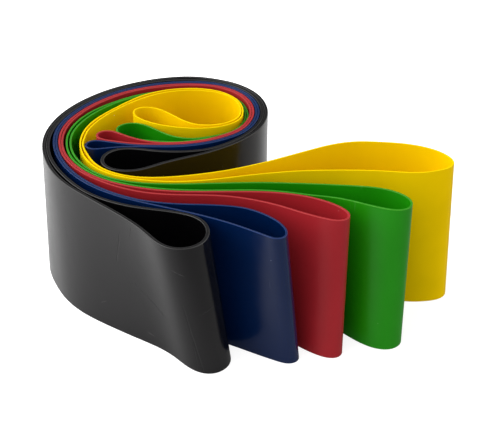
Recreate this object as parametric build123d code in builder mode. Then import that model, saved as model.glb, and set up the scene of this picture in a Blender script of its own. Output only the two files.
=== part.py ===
from build123d import *
import os
from math import hypot

# A set of five flat loop bands. Each band is one seamless rubber strip, closed on
# itself, standing on its lower cut edge. The five loops are pressed flat to two
# layers each, stacked, and rolled together into a coil with fanned-out free ends.
#
# Frame: +Z up, the lower cut edges stand on Z = 0, the origin is at the middle of
# the set's outline. The free ends fan out towards +X.

# Driving dimensions, in mm
band_width = 50.0          # height of the standing strip, cut edge to cut edge
thick_black = 1.30         # strip thicknesses, heaviest to lightest
thick_blue = 0.74
thick_red = 0.78
thick_green = 0.70
thick_yellow = 0.60
span_points = 5            # points of a table joined by one smooth span

# Each table follows the middle of one strip once round its closed loop, from the
# free outer end along the outer layer to the inner end and back along the inner
# layer. A row is (x, y, foot_dx, foot_dy): the place of the upper cut edge, and how
# far the lower cut edge stands from being plumb below it.

black_loop = [
    (-12.32, -50.70, 7.20, -1.04), (-12.68, -53.96, 7.15, -1.10), (-13.88, -56.92, 6.72, -0.94),
    (-15.94, -59.28, 6.21, -0.39), (-18.69, -60.74, 5.86, 0.79), (-21.84, -61.10, 6.04, 2.36),
    (-25.01, -60.11, 6.58, 3.52), (-27.77, -57.84, 6.92, 3.98), (-30.18, -54.79, 6.77, 3.96),
    (-32.54, -51.40, 6.16, 3.55), (-35.11, -47.98, 5.34, 2.88), (-37.94, -44.64, 4.50, 2.10),
    (-40.96, -41.39, 3.76, 1.37), (-44.13, -38.22, 3.14, 0.77), (-47.38, -35.09, 2.61, 0.29),
    (-50.65, -32.00, 2.15, -0.12), (-53.85, -28.90, 1.72, -0.47), (-56.92, -25.77, 1.38, -0.70),
    (-59.81, -22.56, 1.14, -0.78), (-62.47, -19.19, 1.00, -0.77), (-64.82, -15.62, 0.91, -0.69),
    (-66.82, -11.83, 0.84, -0.59), (-68.48, -7.86, 0.67, -0.52), (-69.81, -3.77, 0.39, -0.48),
    (-70.89, 0.39, 0.18, -0.40), (-71.62, 4.60, 0.08, -0.31), (-71.96, 8.85, 0.03, -0.22),
    (-71.88, 13.11, 0.00, -0.14), (-71.37, 17.36, -0.01, -0.09), (-70.47, 21.54, -0.01, -0.05),
    (-69.21, 25.64, 0.00, 0.00), (-67.55, 29.61, 0.00, 0.00), (-65.57, 33.44, 0.00, 0.00),
    (-63.31, 37.12, 0.00, 0.00), (-60.73, 40.59, 0.00, 0.00), (-57.89, 43.86, 0.00, 0.00),
    (-54.81, 46.92, 0.00, 0.00), (-51.51, 49.73, 0.00, 0.00), (-48.00, 52.28, 0.00, 0.00),
    (-44.31, 54.56, 0.00, 0.00), (-40.46, 56.55, 0.00, 0.00), (-36.49, 58.26, 0.00, 0.00),
    (-32.42, 59.63, 0.00, 0.00), (-28.27, 60.59, 0.00, 0.00), (-24.09, 61.10, 0.00, 0.00),
    (-19.91, 61.09, 0.00, 0.00), (-15.78, 60.54, 0.00, 0.00), (-11.77, 59.42, 0.00, 0.00),
    (-7.94, 57.83, 0.00, 0.00), (-4.35, 55.79, 0.00, 0.00), (-1.14, 53.24, 0.00, 0.00),
    (1.64, 50.26, 0.00, 0.00), (3.88, 46.87, 0.00, 0.00), (5.53, 43.14, 0.00, 0.00),
    (6.62, 39.18, 0.00, 0.00), (7.17, 35.10, 0.00, 0.00), (7.14, 30.97, 0.00, 0.00),
    (6.50, 26.89, 0.00, 0.00), (5.36, 22.91, 0.00, 0.00), (3.70, 19.11, 0.00, 0.00),
    (1.47, 15.59, 0.00, 0.00), (-1.15, 12.29, 0.00, 0.00), (-4.11, 9.24, 0.00, 0.00),
    (-7.40, 6.48, 0.00, 0.00), (-10.95, 3.98, 0.00, 0.00), (-14.63, 1.60, 0.00, 0.00),
    (-18.49, -0.54, 0.00, 0.00), (-22.46, -2.51, 0.00, 0.00), (-26.41, -4.51, 0.00, 0.00),
    (-30.15, -6.73, 0.00, 0.00), (-33.65, -9.05, 0.00, 0.00), (-37.16, -10.88, 0.00, 0.00),
    (-40.77, -11.68, 0.00, 0.00), (-44.26, -11.38, 0.00, 0.00), (-47.30, -9.98, 0.00, 0.00),
    (-49.39, -7.51, 0.00, 0.00), (-50.19, -4.40, 0.00, 0.00), (-49.70, -1.22, 0.00, 0.00),
    (-47.97, 1.53, 0.00, 0.00), (-45.18, 3.39, 0.00, 0.00), (-41.72, 4.08, 0.00, 0.00),
    (-37.91, 3.79, 0.00, 0.00), (-33.87, 3.02, 0.00, 0.00), (-29.67, 2.41, 0.00, 0.00),
    (-25.43, 2.22, 0.00, 0.00), (-21.24, 2.48, 0.00, 0.00), (-17.17, 3.25, 0.00, 0.00),
    (-13.30, 4.57, 0.00, 0.00), (-9.74, 6.58, 0.00, 0.00), (-6.45, 9.12, 0.00, 0.00),
    (-3.39, 12.00, 0.00, 0.00), (-0.67, 15.20, 0.00, 0.00), (1.65, 18.68, 0.00, 0.00),
    (3.51, 22.39, 0.00, 0.00), (4.85, 26.30, 0.00, 0.00), (5.62, 30.34, 0.00, 0.00),
    (5.74, 34.44, 0.00, 0.00), (5.26, 38.51, 0.00, 0.00), (4.22, 42.46, 0.00, 0.00),
    (2.59, 46.18, 0.00, 0.00), (0.35, 49.54, 0.00, 0.00), (-2.44, 52.46, 0.00, 0.00),
    (-5.67, 54.91, 0.00, 0.00), (-9.27, 56.82, 0.00, 0.00), (-13.15, 58.13, 0.00, 0.00),
    (-17.23, 58.90, 0.00, 0.00), (-21.41, 59.18, 0.00, 0.00), (-25.64, 58.99, 0.00, 0.00),
    (-29.85, 58.37, 0.00, 0.00), (-34.00, 57.35, 0.00, 0.00), (-38.05, 55.95, 0.00, 0.00),
    (-41.95, 54.17, 0.00, 0.00), (-45.69, 52.04, 0.00, 0.00), (-49.26, 49.61, 0.00, 0.00),
    (-52.64, 46.91, 0.00, 0.00), (-55.80, 43.94, 0.00, 0.00), (-58.72, 40.74, 0.00, 0.00),
    (-61.38, 37.34, 0.00, 0.00), (-63.73, 33.72, 0.00, 0.00), (-65.78, 29.93, 0.00, 0.00),
    (-67.52, 26.00, 0.00, 0.00), (-68.85, 21.93, 0.00, 0.00), (-69.82, 17.77, 0.00, 0.00),
    (-70.38, 13.54, 0.00, 0.00), (-70.51, 9.29, 0.00, 0.00), (-70.21, 5.05, 0.03, 0.01),
    (-69.50, 0.86, 0.07, 0.02), (-68.39, -3.26, 0.15, 0.04), (-66.86, -7.26, 0.16, 0.03),
    (-65.01, -11.14, 0.07, -0.03), (-62.88, -14.90, 0.05, -0.09), (-60.52, -18.51, 0.11, -0.14),
    (-57.93, -21.94, 0.24, -0.18), (-55.11, -25.13, 0.50, -0.19), (-51.99, -27.99, 0.84, -0.17),
    (-48.58, -30.49, 1.24, -0.17), (-44.89, -32.59, 1.71, -0.16), (-40.99, -34.32, 2.25, -0.16),
    (-36.91, -35.69, 2.82, -0.24), (-32.67, -36.71, 3.39, -0.49), (-28.36, -37.55, 3.94, -0.86),
    (-24.17, -38.50, 4.45, -1.21), (-20.30, -39.80, 4.90, -1.43), (-16.92, -41.64, 5.33, -1.48),
    (-14.37, -44.23, 5.92, -1.27), (-12.86, -47.37, 6.68, -1.04),
]

blue_loop = [
    (13.03, -51.24, 5.19, 1.06), (11.92, -53.71, 5.67, 0.88), (9.32, -54.28, 5.88, 0.25),
    (6.64, -52.95, 5.63, -0.38), (3.76, -51.00, 5.33, -0.72), (0.33, -48.81, 5.04, -0.88),
    (-3.38, -46.50, 4.72, -0.85), (-7.24, -44.30, 4.41, -0.64), (-11.20, -42.29, 4.04, -0.37),
    (-15.24, -40.44, 3.61, -0.14), (-19.35, -38.70, 3.12, -0.01), (-23.54, -37.06, 2.63, 0.07),
    (-27.78, -35.46, 2.15, 0.09), (-32.00, -33.84, 1.69, 0.05), (-36.15, -32.15, 1.27, -0.05),
    (-40.19, -30.37, 0.93, -0.12), (-44.05, -28.35, 0.65, -0.15), (-47.71, -26.05, 0.43, -0.16),
    (-51.16, -23.48, 0.27, -0.14), (-54.37, -20.64, 0.17, -0.10), (-57.30, -17.52, 0.10, -0.08),
    (-59.91, -14.13, 0.05, -0.05), (-62.21, -10.51, 0.03, -0.03), (-64.19, -6.69, 0.00, 0.00),
    (-65.84, -2.71, 0.00, 0.00), (-67.16, 1.37, 0.00, 0.00), (-68.10, 5.54, 0.00, 0.00),
    (-68.60, 9.76, 0.00, 0.00), (-68.67, 14.00, 0.00, 0.00), (-68.27, 18.19, 0.00, 0.00),
    (-67.34, 22.30, 0.00, 0.00), (-65.93, 26.30, 0.00, 0.00), (-64.12, 30.18, 0.00, 0.00),
    (-62.02, 33.94, 0.00, 0.00), (-59.58, 37.49, 0.00, 0.00), (-56.84, 40.83, 0.00, 0.00),
    (-53.85, 43.95, 0.00, 0.00), (-50.64, 46.82, 0.00, 0.00), (-47.18, 49.36, 0.00, 0.00),
    (-43.50, 51.56, 0.00, 0.00), (-39.64, 53.44, 0.00, 0.00), (-35.62, 54.98, 0.00, 0.00),
    (-31.49, 56.15, 0.00, 0.00), (-27.28, 56.96, 0.00, 0.00), (-23.03, 57.38, 0.00, 0.00),
    (-18.81, 57.39, 0.00, 0.00), (-14.69, 56.91, 0.00, 0.00), (-10.75, 55.83, 0.00, 0.00),
    (-7.08, 54.12, 0.00, 0.00), (-3.80, 51.81, 0.00, 0.00), (-0.96, 48.98, 0.00, 0.00),
    (1.31, 45.68, 0.00, 0.00), (2.94, 42.00, 0.00, 0.00), (3.96, 38.07, 0.00, 0.00),
    (4.40, 34.02, 0.00, 0.00), (4.20, 29.95, 0.00, 0.00), (3.34, 25.96, 0.00, 0.00),
    (1.93, 22.14, 0.00, 0.00), (-0.03, 18.61, 0.00, 0.00), (-2.67, 15.56, 0.00, 0.00),
    (-5.85, 12.97, 0.00, 0.00), (-9.37, 10.71, 0.00, 0.00), (-13.12, 8.79, 0.00, 0.00),
    (-17.09, 7.35, 0.00, 0.00), (-21.21, 6.32, 0.00, 0.00), (-25.46, 5.71, 0.00, 0.00),
    (-29.80, 5.47, 0.00, 0.00), (-34.20, 5.45, 0.00, 0.00), (-38.58, 5.54, 0.00, 0.00),
    (-42.86, 5.36, 0.00, 0.00), (-46.89, 4.72, 0.00, 0.00), (-50.46, 3.92, 0.02, -0.12),
    (-53.51, 3.37, 0.00, 0.00), (-56.00, 4.18, 0.04, 0.06), (-56.91, 6.41, 0.00, 0.00),
    (-55.86, 8.58, 0.00, 0.00), (-53.39, 9.44, 0.00, 0.00), (-50.37, 8.96, 0.00, 0.00),
    (-46.84, 8.04, 0.00, 0.00), (-42.79, 7.17, 0.00, 0.00), (-38.52, 6.56, 0.00, 0.00),
    (-34.18, 6.35, 0.00, 0.00), (-29.81, 6.37, 0.00, 0.00), (-25.47, 6.61, 0.00, 0.00),
    (-21.23, 7.23, 0.00, 0.00), (-17.12, 8.28, 0.00, 0.00), (-13.17, 9.76, 0.00, 0.00),
    (-9.44, 11.71, 0.00, 0.00), (-5.97, 14.00, 0.00, 0.00), (-2.85, 16.65, 0.00, 0.00),
    (-0.34, 19.79, 0.00, 0.00), (1.47, 23.38, 0.00, 0.00), (2.75, 27.22, 0.00, 0.00),
    (3.43, 31.23, 0.00, 0.00), (3.42, 35.29, 0.00, 0.00), (2.79, 39.30, 0.00, 0.00),
    (1.55, 43.13, 0.00, 0.00), (-0.34, 46.66, 0.00, 0.00), (-2.87, 49.74, 0.00, 0.00),
    (-5.93, 52.30, 0.00, 0.00), (-9.40, 54.30, 0.00, 0.00), (-13.21, 55.65, 0.00, 0.00),
    (-17.24, 56.37, 0.00, 0.00), (-21.41, 56.54, 0.00, 0.00), (-25.63, 56.23, 0.00, 0.00),
    (-29.86, 55.56, 0.00, 0.00), (-34.03, 54.54, 0.00, 0.00), (-38.08, 53.12, 0.00, 0.00),
    (-41.98, 51.34, 0.00, 0.00), (-45.71, 49.23, 0.00, 0.00), (-49.23, 46.79, 0.00, 0.00),
    (-52.49, 44.00, 0.00, 0.00), (-55.53, 40.94, 0.00, 0.00), (-58.32, 37.65, 0.00, 0.00),
    (-60.82, 34.14, 0.00, 0.00), (-62.98, 30.42, 0.00, 0.00), (-64.85, 26.56, 0.00, 0.00),
    (-66.31, 22.57, 0.00, 0.00), (-67.31, 18.48, 0.00, 0.00), (-67.76, 14.30, 0.00, 0.00),
    (-67.72, 10.08, 0.00, 0.00), (-67.25, 5.87, 0.00, 0.00), (-66.32, 1.71, 0.00, 0.00),
    (-65.01, -2.37, 0.00, 0.00), (-63.37, -6.34, 0.00, 0.00), (-61.38, -10.14, 0.00, 0.00),
    (-59.04, -13.73, 0.00, 0.00), (-56.38, -17.10, 0.00, 0.00), (-53.44, -20.21, 0.00, 0.00),
    (-50.24, -23.05, 0.06, 0.01), (-46.78, -25.60, 0.12, 0.05), (-43.12, -27.84, 0.20, 0.11),
    (-39.30, -29.79, 0.28, 0.17), (-35.34, -31.35, 0.35, 0.15), (-31.22, -32.46, 0.43, 0.04),
    (-26.98, -33.19, 0.56, 0.02), (-22.63, -33.65, 0.73, 0.03), (-18.20, -33.89, 0.94, 0.02),
    (-13.75, -34.01, 1.19, -0.05), (-9.36, -34.19, 1.47, -0.18), (-5.13, -34.65, 1.74, -0.34),
    (-1.12, -35.64, 2.02, -0.42), (2.58, -37.31, 2.36, -0.30), (5.91, -39.59, 2.81, -0.03),
    (8.83, -42.29, 3.34, 0.30), (11.16, -45.23, 3.91, 0.64), (12.61, -48.28, 4.58, 0.94),
]

red_loop = [
    (33.83, -40.10, -0.88, -7.84), (32.33, -42.32, -0.84, -7.86), (29.58, -42.82, -0.87, -7.75),
    (26.55, -42.03, -0.85, -7.40), (23.21, -40.61, -0.70, -6.74), (19.53, -38.77, -0.43, -5.83),
    (15.72, -36.63, -0.15, -4.89), (11.88, -34.46, 0.07, -4.04), (8.01, -32.50, 0.17, -3.32),
    (4.03, -30.87, 0.19, -2.75), (-0.07, -29.58, 0.16, -2.31), (-4.28, -28.63, 0.12, -1.95),
    (-8.60, -28.00, 0.08, -1.61), (-12.99, -27.68, 0.05, -1.28), (-17.43, -27.61, 0.02, -0.96),
    (-21.90, -27.62, 0.00, -0.68), (-26.31, -27.48, -0.01, -0.46), (-30.63, -27.01, -0.01, -0.29),
    (-34.84, -26.11, 0.01, -0.16), (-38.93, -24.80, 0.02, -0.06), (-42.87, -23.10, 0.03, -0.02),
    (-46.65, -21.03, 0.00, 0.00), (-50.23, -18.62, 0.00, 0.00), (-53.63, -15.97, 0.00, 0.00),
    (-56.71, -13.01, 0.00, 0.00), (-59.45, -9.77, 0.00, 0.00), (-61.77, -6.24, 0.00, 0.00),
    (-63.68, -2.48, 0.00, 0.00), (-65.12, 1.49, 0.00, 0.00), (-66.09, 5.62, 0.00, 0.00),
    (-66.60, 9.82, 0.00, 0.00), (-66.67, 14.05, 0.00, 0.00), (-66.24, 18.24, 0.00, 0.00),
    (-65.24, 22.33, 0.00, 0.00), (-63.76, 26.32, 0.00, 0.00), (-61.87, 30.17, 0.00, 0.00),
    (-59.68, 33.88, 0.00, 0.00), (-57.14, 37.37, 0.00, 0.00), (-54.31, 40.64, 0.00, 0.00),
    (-51.22, 43.67, 0.00, 0.00), (-47.91, 46.41, 0.00, 0.00), (-44.33, 48.79, 0.00, 0.00),
    (-40.54, 50.83, 0.00, 0.00), (-36.59, 52.52, 0.00, 0.00), (-32.49, 53.81, 0.00, 0.00),
    (-28.29, 54.72, 0.00, 0.00), (-24.04, 55.23, 0.00, 0.00), (-19.80, 55.35, 0.00, 0.00),
    (-15.65, 54.97, 0.00, 0.00), (-11.69, 53.99, 0.00, 0.00), (-8.03, 52.32, 0.00, 0.00),
    (-4.78, 50.01, 0.00, 0.00), (-2.04, 47.14, 0.00, 0.00), (0.06, 43.76, 0.00, 0.00),
    (1.47, 40.00, 0.00, 0.00), (2.25, 36.03, 0.00, 0.00), (2.38, 31.98, 0.00, 0.00),
    (1.80, 27.96, 0.00, 0.00), (0.58, 24.10, 0.00, 0.00), (-1.20, 20.49, 0.00, 0.00),
    (-3.70, 17.35, 0.00, 0.00), (-6.83, 14.73, 0.00, 0.00), (-10.33, 12.46, 0.00, 0.00),
    (-14.08, 10.55, 0.00, 0.00), (-18.07, 9.14, 0.00, 0.00), (-22.22, 8.17, 0.00, 0.00),
    (-26.49, 7.62, 0.00, 0.00), (-30.85, 7.45, 0.00, 0.00), (-35.23, 7.48, 0.00, 0.00),
    (-39.58, 7.78, 0.00, 0.00), (-43.78, 8.48, 0.00, 0.00), (-47.62, 9.37, 0.00, 0.00),
    (-50.86, 10.33, 0.00, 0.00), (-53.13, 12.04, 0.04, 0.05), (-53.47, 14.56, 0.00, 0.00),
    (-51.82, 16.45, 0.00, 0.00), (-49.18, 16.77, -0.02, -0.03), (-46.42, 15.54, 0.00, 0.00),
    (-43.54, 13.50, 0.00, 0.00), (-40.14, 11.49, 0.00, 0.00), (-36.40, 9.80, 0.00, 0.00),
    (-32.47, 8.71, 0.00, 0.00), (-28.40, 8.46, 0.00, 0.00), (-24.26, 8.80, 0.00, 0.00),
    (-20.11, 9.57, 0.00, 0.00), (-16.06, 10.78, 0.00, 0.00), (-12.21, 12.49, 0.00, 0.00),
    (-8.62, 14.64, 0.00, 0.00), (-5.34, 17.11, 0.00, 0.00), (-2.61, 20.06, 0.00, 0.00),
    (-0.67, 23.55, 0.00, 0.00), (0.67, 27.34, 0.00, 0.00), (1.39, 31.31, 0.00, 0.00),
    (1.37, 35.35, 0.00, 0.00), (0.68, 39.32, 0.00, 0.00), (-0.66, 43.08, 0.00, 0.00),
    (-2.71, 46.47, 0.00, 0.00), (-5.43, 49.33, 0.00, 0.00), (-8.67, 51.61, 0.00, 0.00),
    (-12.33, 53.21, 0.00, 0.00), (-16.29, 54.11, 0.00, 0.00), (-20.41, 54.42, 0.00, 0.00),
    (-24.62, 54.19, 0.00, 0.00), (-28.84, 53.49, 0.00, 0.00), (-33.06, 52.52, 0.00, 0.00),
    (-37.16, 51.23, 0.00, 0.00), (-41.08, 49.51, 0.00, 0.00), (-44.80, 47.40, 0.00, 0.00),
    (-48.30, 44.93, 0.00, 0.00), (-51.54, 42.10, 0.00, 0.00), (-54.54, 38.99, 0.00, 0.00),
    (-57.28, 35.66, 0.00, 0.00), (-59.70, 32.09, 0.00, 0.00), (-61.77, 28.33, 0.00, 0.00),
    (-63.51, 24.43, 0.00, 0.00), (-64.76, 20.40, 0.00, 0.00), (-65.45, 16.24, 0.00, 0.00),
    (-65.71, 12.03, 0.00, 0.00), (-65.46, 7.81, 0.00, 0.00), (-64.72, 3.66, 0.00, 0.00),
    (-63.51, -0.37, 0.00, 0.00), (-61.80, -4.22, 0.00, 0.00), (-59.66, -7.85, 0.00, 0.00),
    (-57.09, -11.19, 0.00, 0.00), (-54.17, -14.23, 0.00, 0.00), (-50.90, -16.89, 0.00, 0.00),
    (-47.29, -19.10, 0.00, 0.00), (-43.43, -20.93, 0.00, 0.00), (-39.38, -22.44, 0.00, 0.00),
    (-35.19, -23.62, 0.00, 0.00), (-30.90, -24.51, 0.00, 0.00), (-26.54, -25.10, 0.00, 0.00),
    (-22.13, -25.44, -0.02, -0.14), (-17.66, -25.56, -0.03, -0.37), (-13.16, -25.52, -0.03, -0.69),
    (-8.64, -25.37, -0.02, -1.09), (-4.13, -25.18, 0.00, -1.55), (0.32, -25.05, 0.04, -2.09),
    (4.71, -25.09, 0.06, -2.74), (9.04, -25.38, 0.05, -3.51), (13.31, -26.01, -0.02, -4.34),
    (17.49, -26.96, -0.14, -5.22), (21.52, -28.28, -0.33, -6.10), (25.28, -30.07, -0.53, -6.81),
    (28.64, -32.25, -0.71, -7.32), (31.40, -34.68, -0.84, -7.64), (33.31, -37.29, -0.91, -7.79),
]

green_loop = [
    (55.16, -31.85, -1.41, -8.39), (53.91, -34.46, -1.13, -8.59), (51.32, -35.75, -0.85, -9.18),
    (48.25, -35.58, -0.89, -9.81), (45.04, -34.60, -1.05, -9.81), (41.60, -33.18, -0.98, -9.07),
    (37.95, -31.45, -0.64, -7.84), (34.11, -29.72, -0.06, -6.18), (30.12, -28.39, 0.61, -4.16),
    (26.02, -27.53, 0.94, -2.28), (21.88, -26.81, 0.98, -0.87), (17.74, -25.89, 0.80, -0.24),
    (13.54, -24.96, 0.55, -0.11), (9.23, -24.32, 0.36, -0.04), (4.85, -24.01, 0.22, -0.01),
    (0.41, -23.97, 0.13, 0.00), (-4.10, -24.10, 0.07, 0.00), (-8.64, -24.28, 0.04, 0.00),
    (-13.18, -24.44, 0.00, 0.00), (-17.69, -24.48, 0.00, 0.00), (-22.16, -24.36, 0.00, 0.00),
    (-26.58, -24.01, 0.00, 0.00), (-30.94, -23.40, 0.00, 0.00), (-35.23, -22.50, 0.00, 0.00),
    (-39.41, -21.29, 0.00, 0.00), (-43.45, -19.76, 0.00, 0.00), (-47.28, -17.88, 0.00, 0.00),
    (-50.84, -15.60, 0.00, 0.00), (-54.03, -12.87, 0.00, 0.00), (-56.87, -9.78, 0.00, 0.00),
    (-59.31, -6.40, 0.00, 0.00), (-61.22, -2.69, 0.00, 0.00), (-62.60, 1.26, 0.00, 0.00),
    (-63.53, 5.37, 0.00, 0.00), (-64.00, 9.56, 0.00, 0.00), (-63.95, 13.76, 0.00, 0.00),
    (-63.35, 17.91, 0.00, 0.00), (-62.20, 21.95, 0.00, 0.00), (-60.56, 25.83, 0.00, 0.00),
    (-58.46, 29.51, 0.00, 0.00), (-55.95, 32.96, 0.00, 0.00), (-53.06, 36.17, 0.00, 0.00),
    (-49.87, 39.17, 0.00, 0.00), (-46.53, 42.05, 0.00, 0.00), (-43.03, 44.77, 0.00, 0.00),
    (-39.43, 47.27, 0.00, 0.00), (-35.73, 49.50, 0.00, 0.00), (-31.88, 51.28, 0.00, 0.00),
    (-27.88, 52.53, 0.00, 0.00), (-23.76, 53.20, 0.00, 0.00), (-19.61, 53.32, 0.00, 0.00),
    (-15.54, 52.90, 0.00, 0.00), (-11.66, 51.82, 0.00, 0.00), (-8.13, 50.01, 0.00, 0.00),
    (-5.08, 47.53, 0.00, 0.00), (-2.64, 44.47, 0.00, 0.00), (-0.94, 40.91, 0.00, 0.00),
    (0.06, 37.06, 0.00, 0.00), (0.39, 33.06, 0.00, 0.00), (-0.02, 29.07, 0.00, 0.00),
    (-1.15, 25.23, 0.00, 0.00), (-2.86, 21.64, 0.00, 0.00), (-5.35, 18.56, 0.00, 0.00),
    (-8.50, 16.02, 0.00, 0.00), (-12.01, 13.83, 0.00, 0.00), (-15.78, 12.04, 0.00, 0.00),
    (-19.72, 10.78, 0.00, 0.00), (-23.74, 10.05, 0.00, 0.04), (-27.84, 10.25, 0.00, 0.00),
    (-31.98, 11.07, 0.00, 0.00), (-36.15, 11.97, 0.00, 0.00), (-40.07, 13.03, 0.00, 0.00),
    (-43.36, 14.70, 0.00, 0.00), (-45.81, 16.96, 0.00, 0.00), (-46.92, 19.78, 0.00, 0.00),
    (-46.26, 22.58, 0.00, 0.00), (-44.08, 24.45, 0.00, 0.00), (-41.11, 24.91, 0.00, 0.00),
    (-38.02, 23.90, 0.00, 0.00), (-35.12, 21.72, 0.00, 0.00), (-32.29, 18.92, 0.00, 0.00),
    (-29.35, 16.07, 0.00, 0.00), (-26.17, 13.74, 0.00, 0.00), (-22.65, 12.36, 0.00, 0.00),
    (-18.95, 12.14, -0.01, 0.04), (-15.31, 13.16, 0.00, 0.00), (-11.78, 14.95, 0.00, 0.00),
    (-8.38, 17.16, 0.00, 0.00), (-5.35, 19.78, 0.00, 0.00), (-3.08, 23.00, 0.00, 0.00),
    (-1.56, 26.65, 0.00, 0.00), (-0.65, 30.52, 0.00, 0.00), (-0.51, 34.51, 0.00, 0.00),
    (-1.10, 38.45, 0.00, 0.00), (-2.38, 42.19, 0.00, 0.00), (-4.43, 45.51, 0.00, 0.00),
    (-7.18, 48.26, 0.00, 0.00), (-10.48, 50.37, 0.00, 0.00), (-14.21, 51.73, 0.00, 0.00),
    (-18.20, 52.38, 0.00, 0.00), (-22.31, 52.44, 0.00, 0.00), (-26.43, 51.95, 0.00, 0.00),
    (-30.46, 50.89, 0.00, 0.00), (-34.34, 49.25, 0.00, 0.00), (-38.06, 47.13, 0.00, 0.00),
    (-41.67, 44.69, 0.00, 0.00), (-45.17, 42.04, 0.00, 0.00), (-48.51, 39.21, 0.00, 0.00),
    (-51.59, 36.14, 0.00, 0.00), (-54.37, 32.83, 0.00, 0.00), (-56.85, 29.30, 0.00, 0.00),
    (-58.96, 25.58, 0.00, 0.00), (-60.66, 21.69, 0.00, 0.00), (-61.88, 17.66, 0.00, 0.00),
    (-62.55, 13.53, 0.00, 0.00), (-62.64, 9.36, 0.00, 0.00), (-62.16, 5.21, 0.00, 0.00),
    (-61.14, 1.15, 0.00, 0.00), (-59.63, -2.77, 0.00, 0.00), (-57.65, -6.47, 0.00, 0.00),
    (-55.23, -9.86, 0.00, 0.00), (-52.38, -12.87, 0.00, 0.00), (-49.13, -15.39, 0.00, 0.00),
    (-45.50, -17.37, 0.00, 0.00), (-41.58, -18.81, 0.00, 0.00), (-37.44, -19.77, 0.00, 0.00),
    (-33.16, -20.35, 0.00, 0.00), (-28.79, -20.60, 0.00, 0.00), (-24.34, -20.61, 0.00, 0.00),
    (-19.85, -20.44, 0.00, 0.00), (-15.32, -20.14, 0.00, 0.00), (-10.77, -19.79, 0.00, 0.00),
    (-6.22, -19.46, 0.00, 0.00), (-1.70, -19.19, 0.00, 0.00), (2.78, -19.00, 0.03, -0.08),
    (7.21, -18.91, 0.04, -0.28), (11.62, -18.92, 0.03, -0.67), (16.04, -19.04, 0.00, -1.23),
    (20.47, -19.26, -0.07, -1.97), (24.94, -19.55, -0.18, -2.88), (29.45, -19.87, -0.33, -3.89),
    (33.96, -20.20, -0.45, -4.88), (38.40, -20.53, -0.56, -5.81), (42.65, -21.09, -0.67, -6.64),
    (46.59, -22.15, -0.84, -7.31), (50.07, -23.85, -1.03, -7.79), (52.87, -26.11, -1.23, -8.13),
    (54.72, -28.85, -1.42, -8.32),
]

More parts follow.
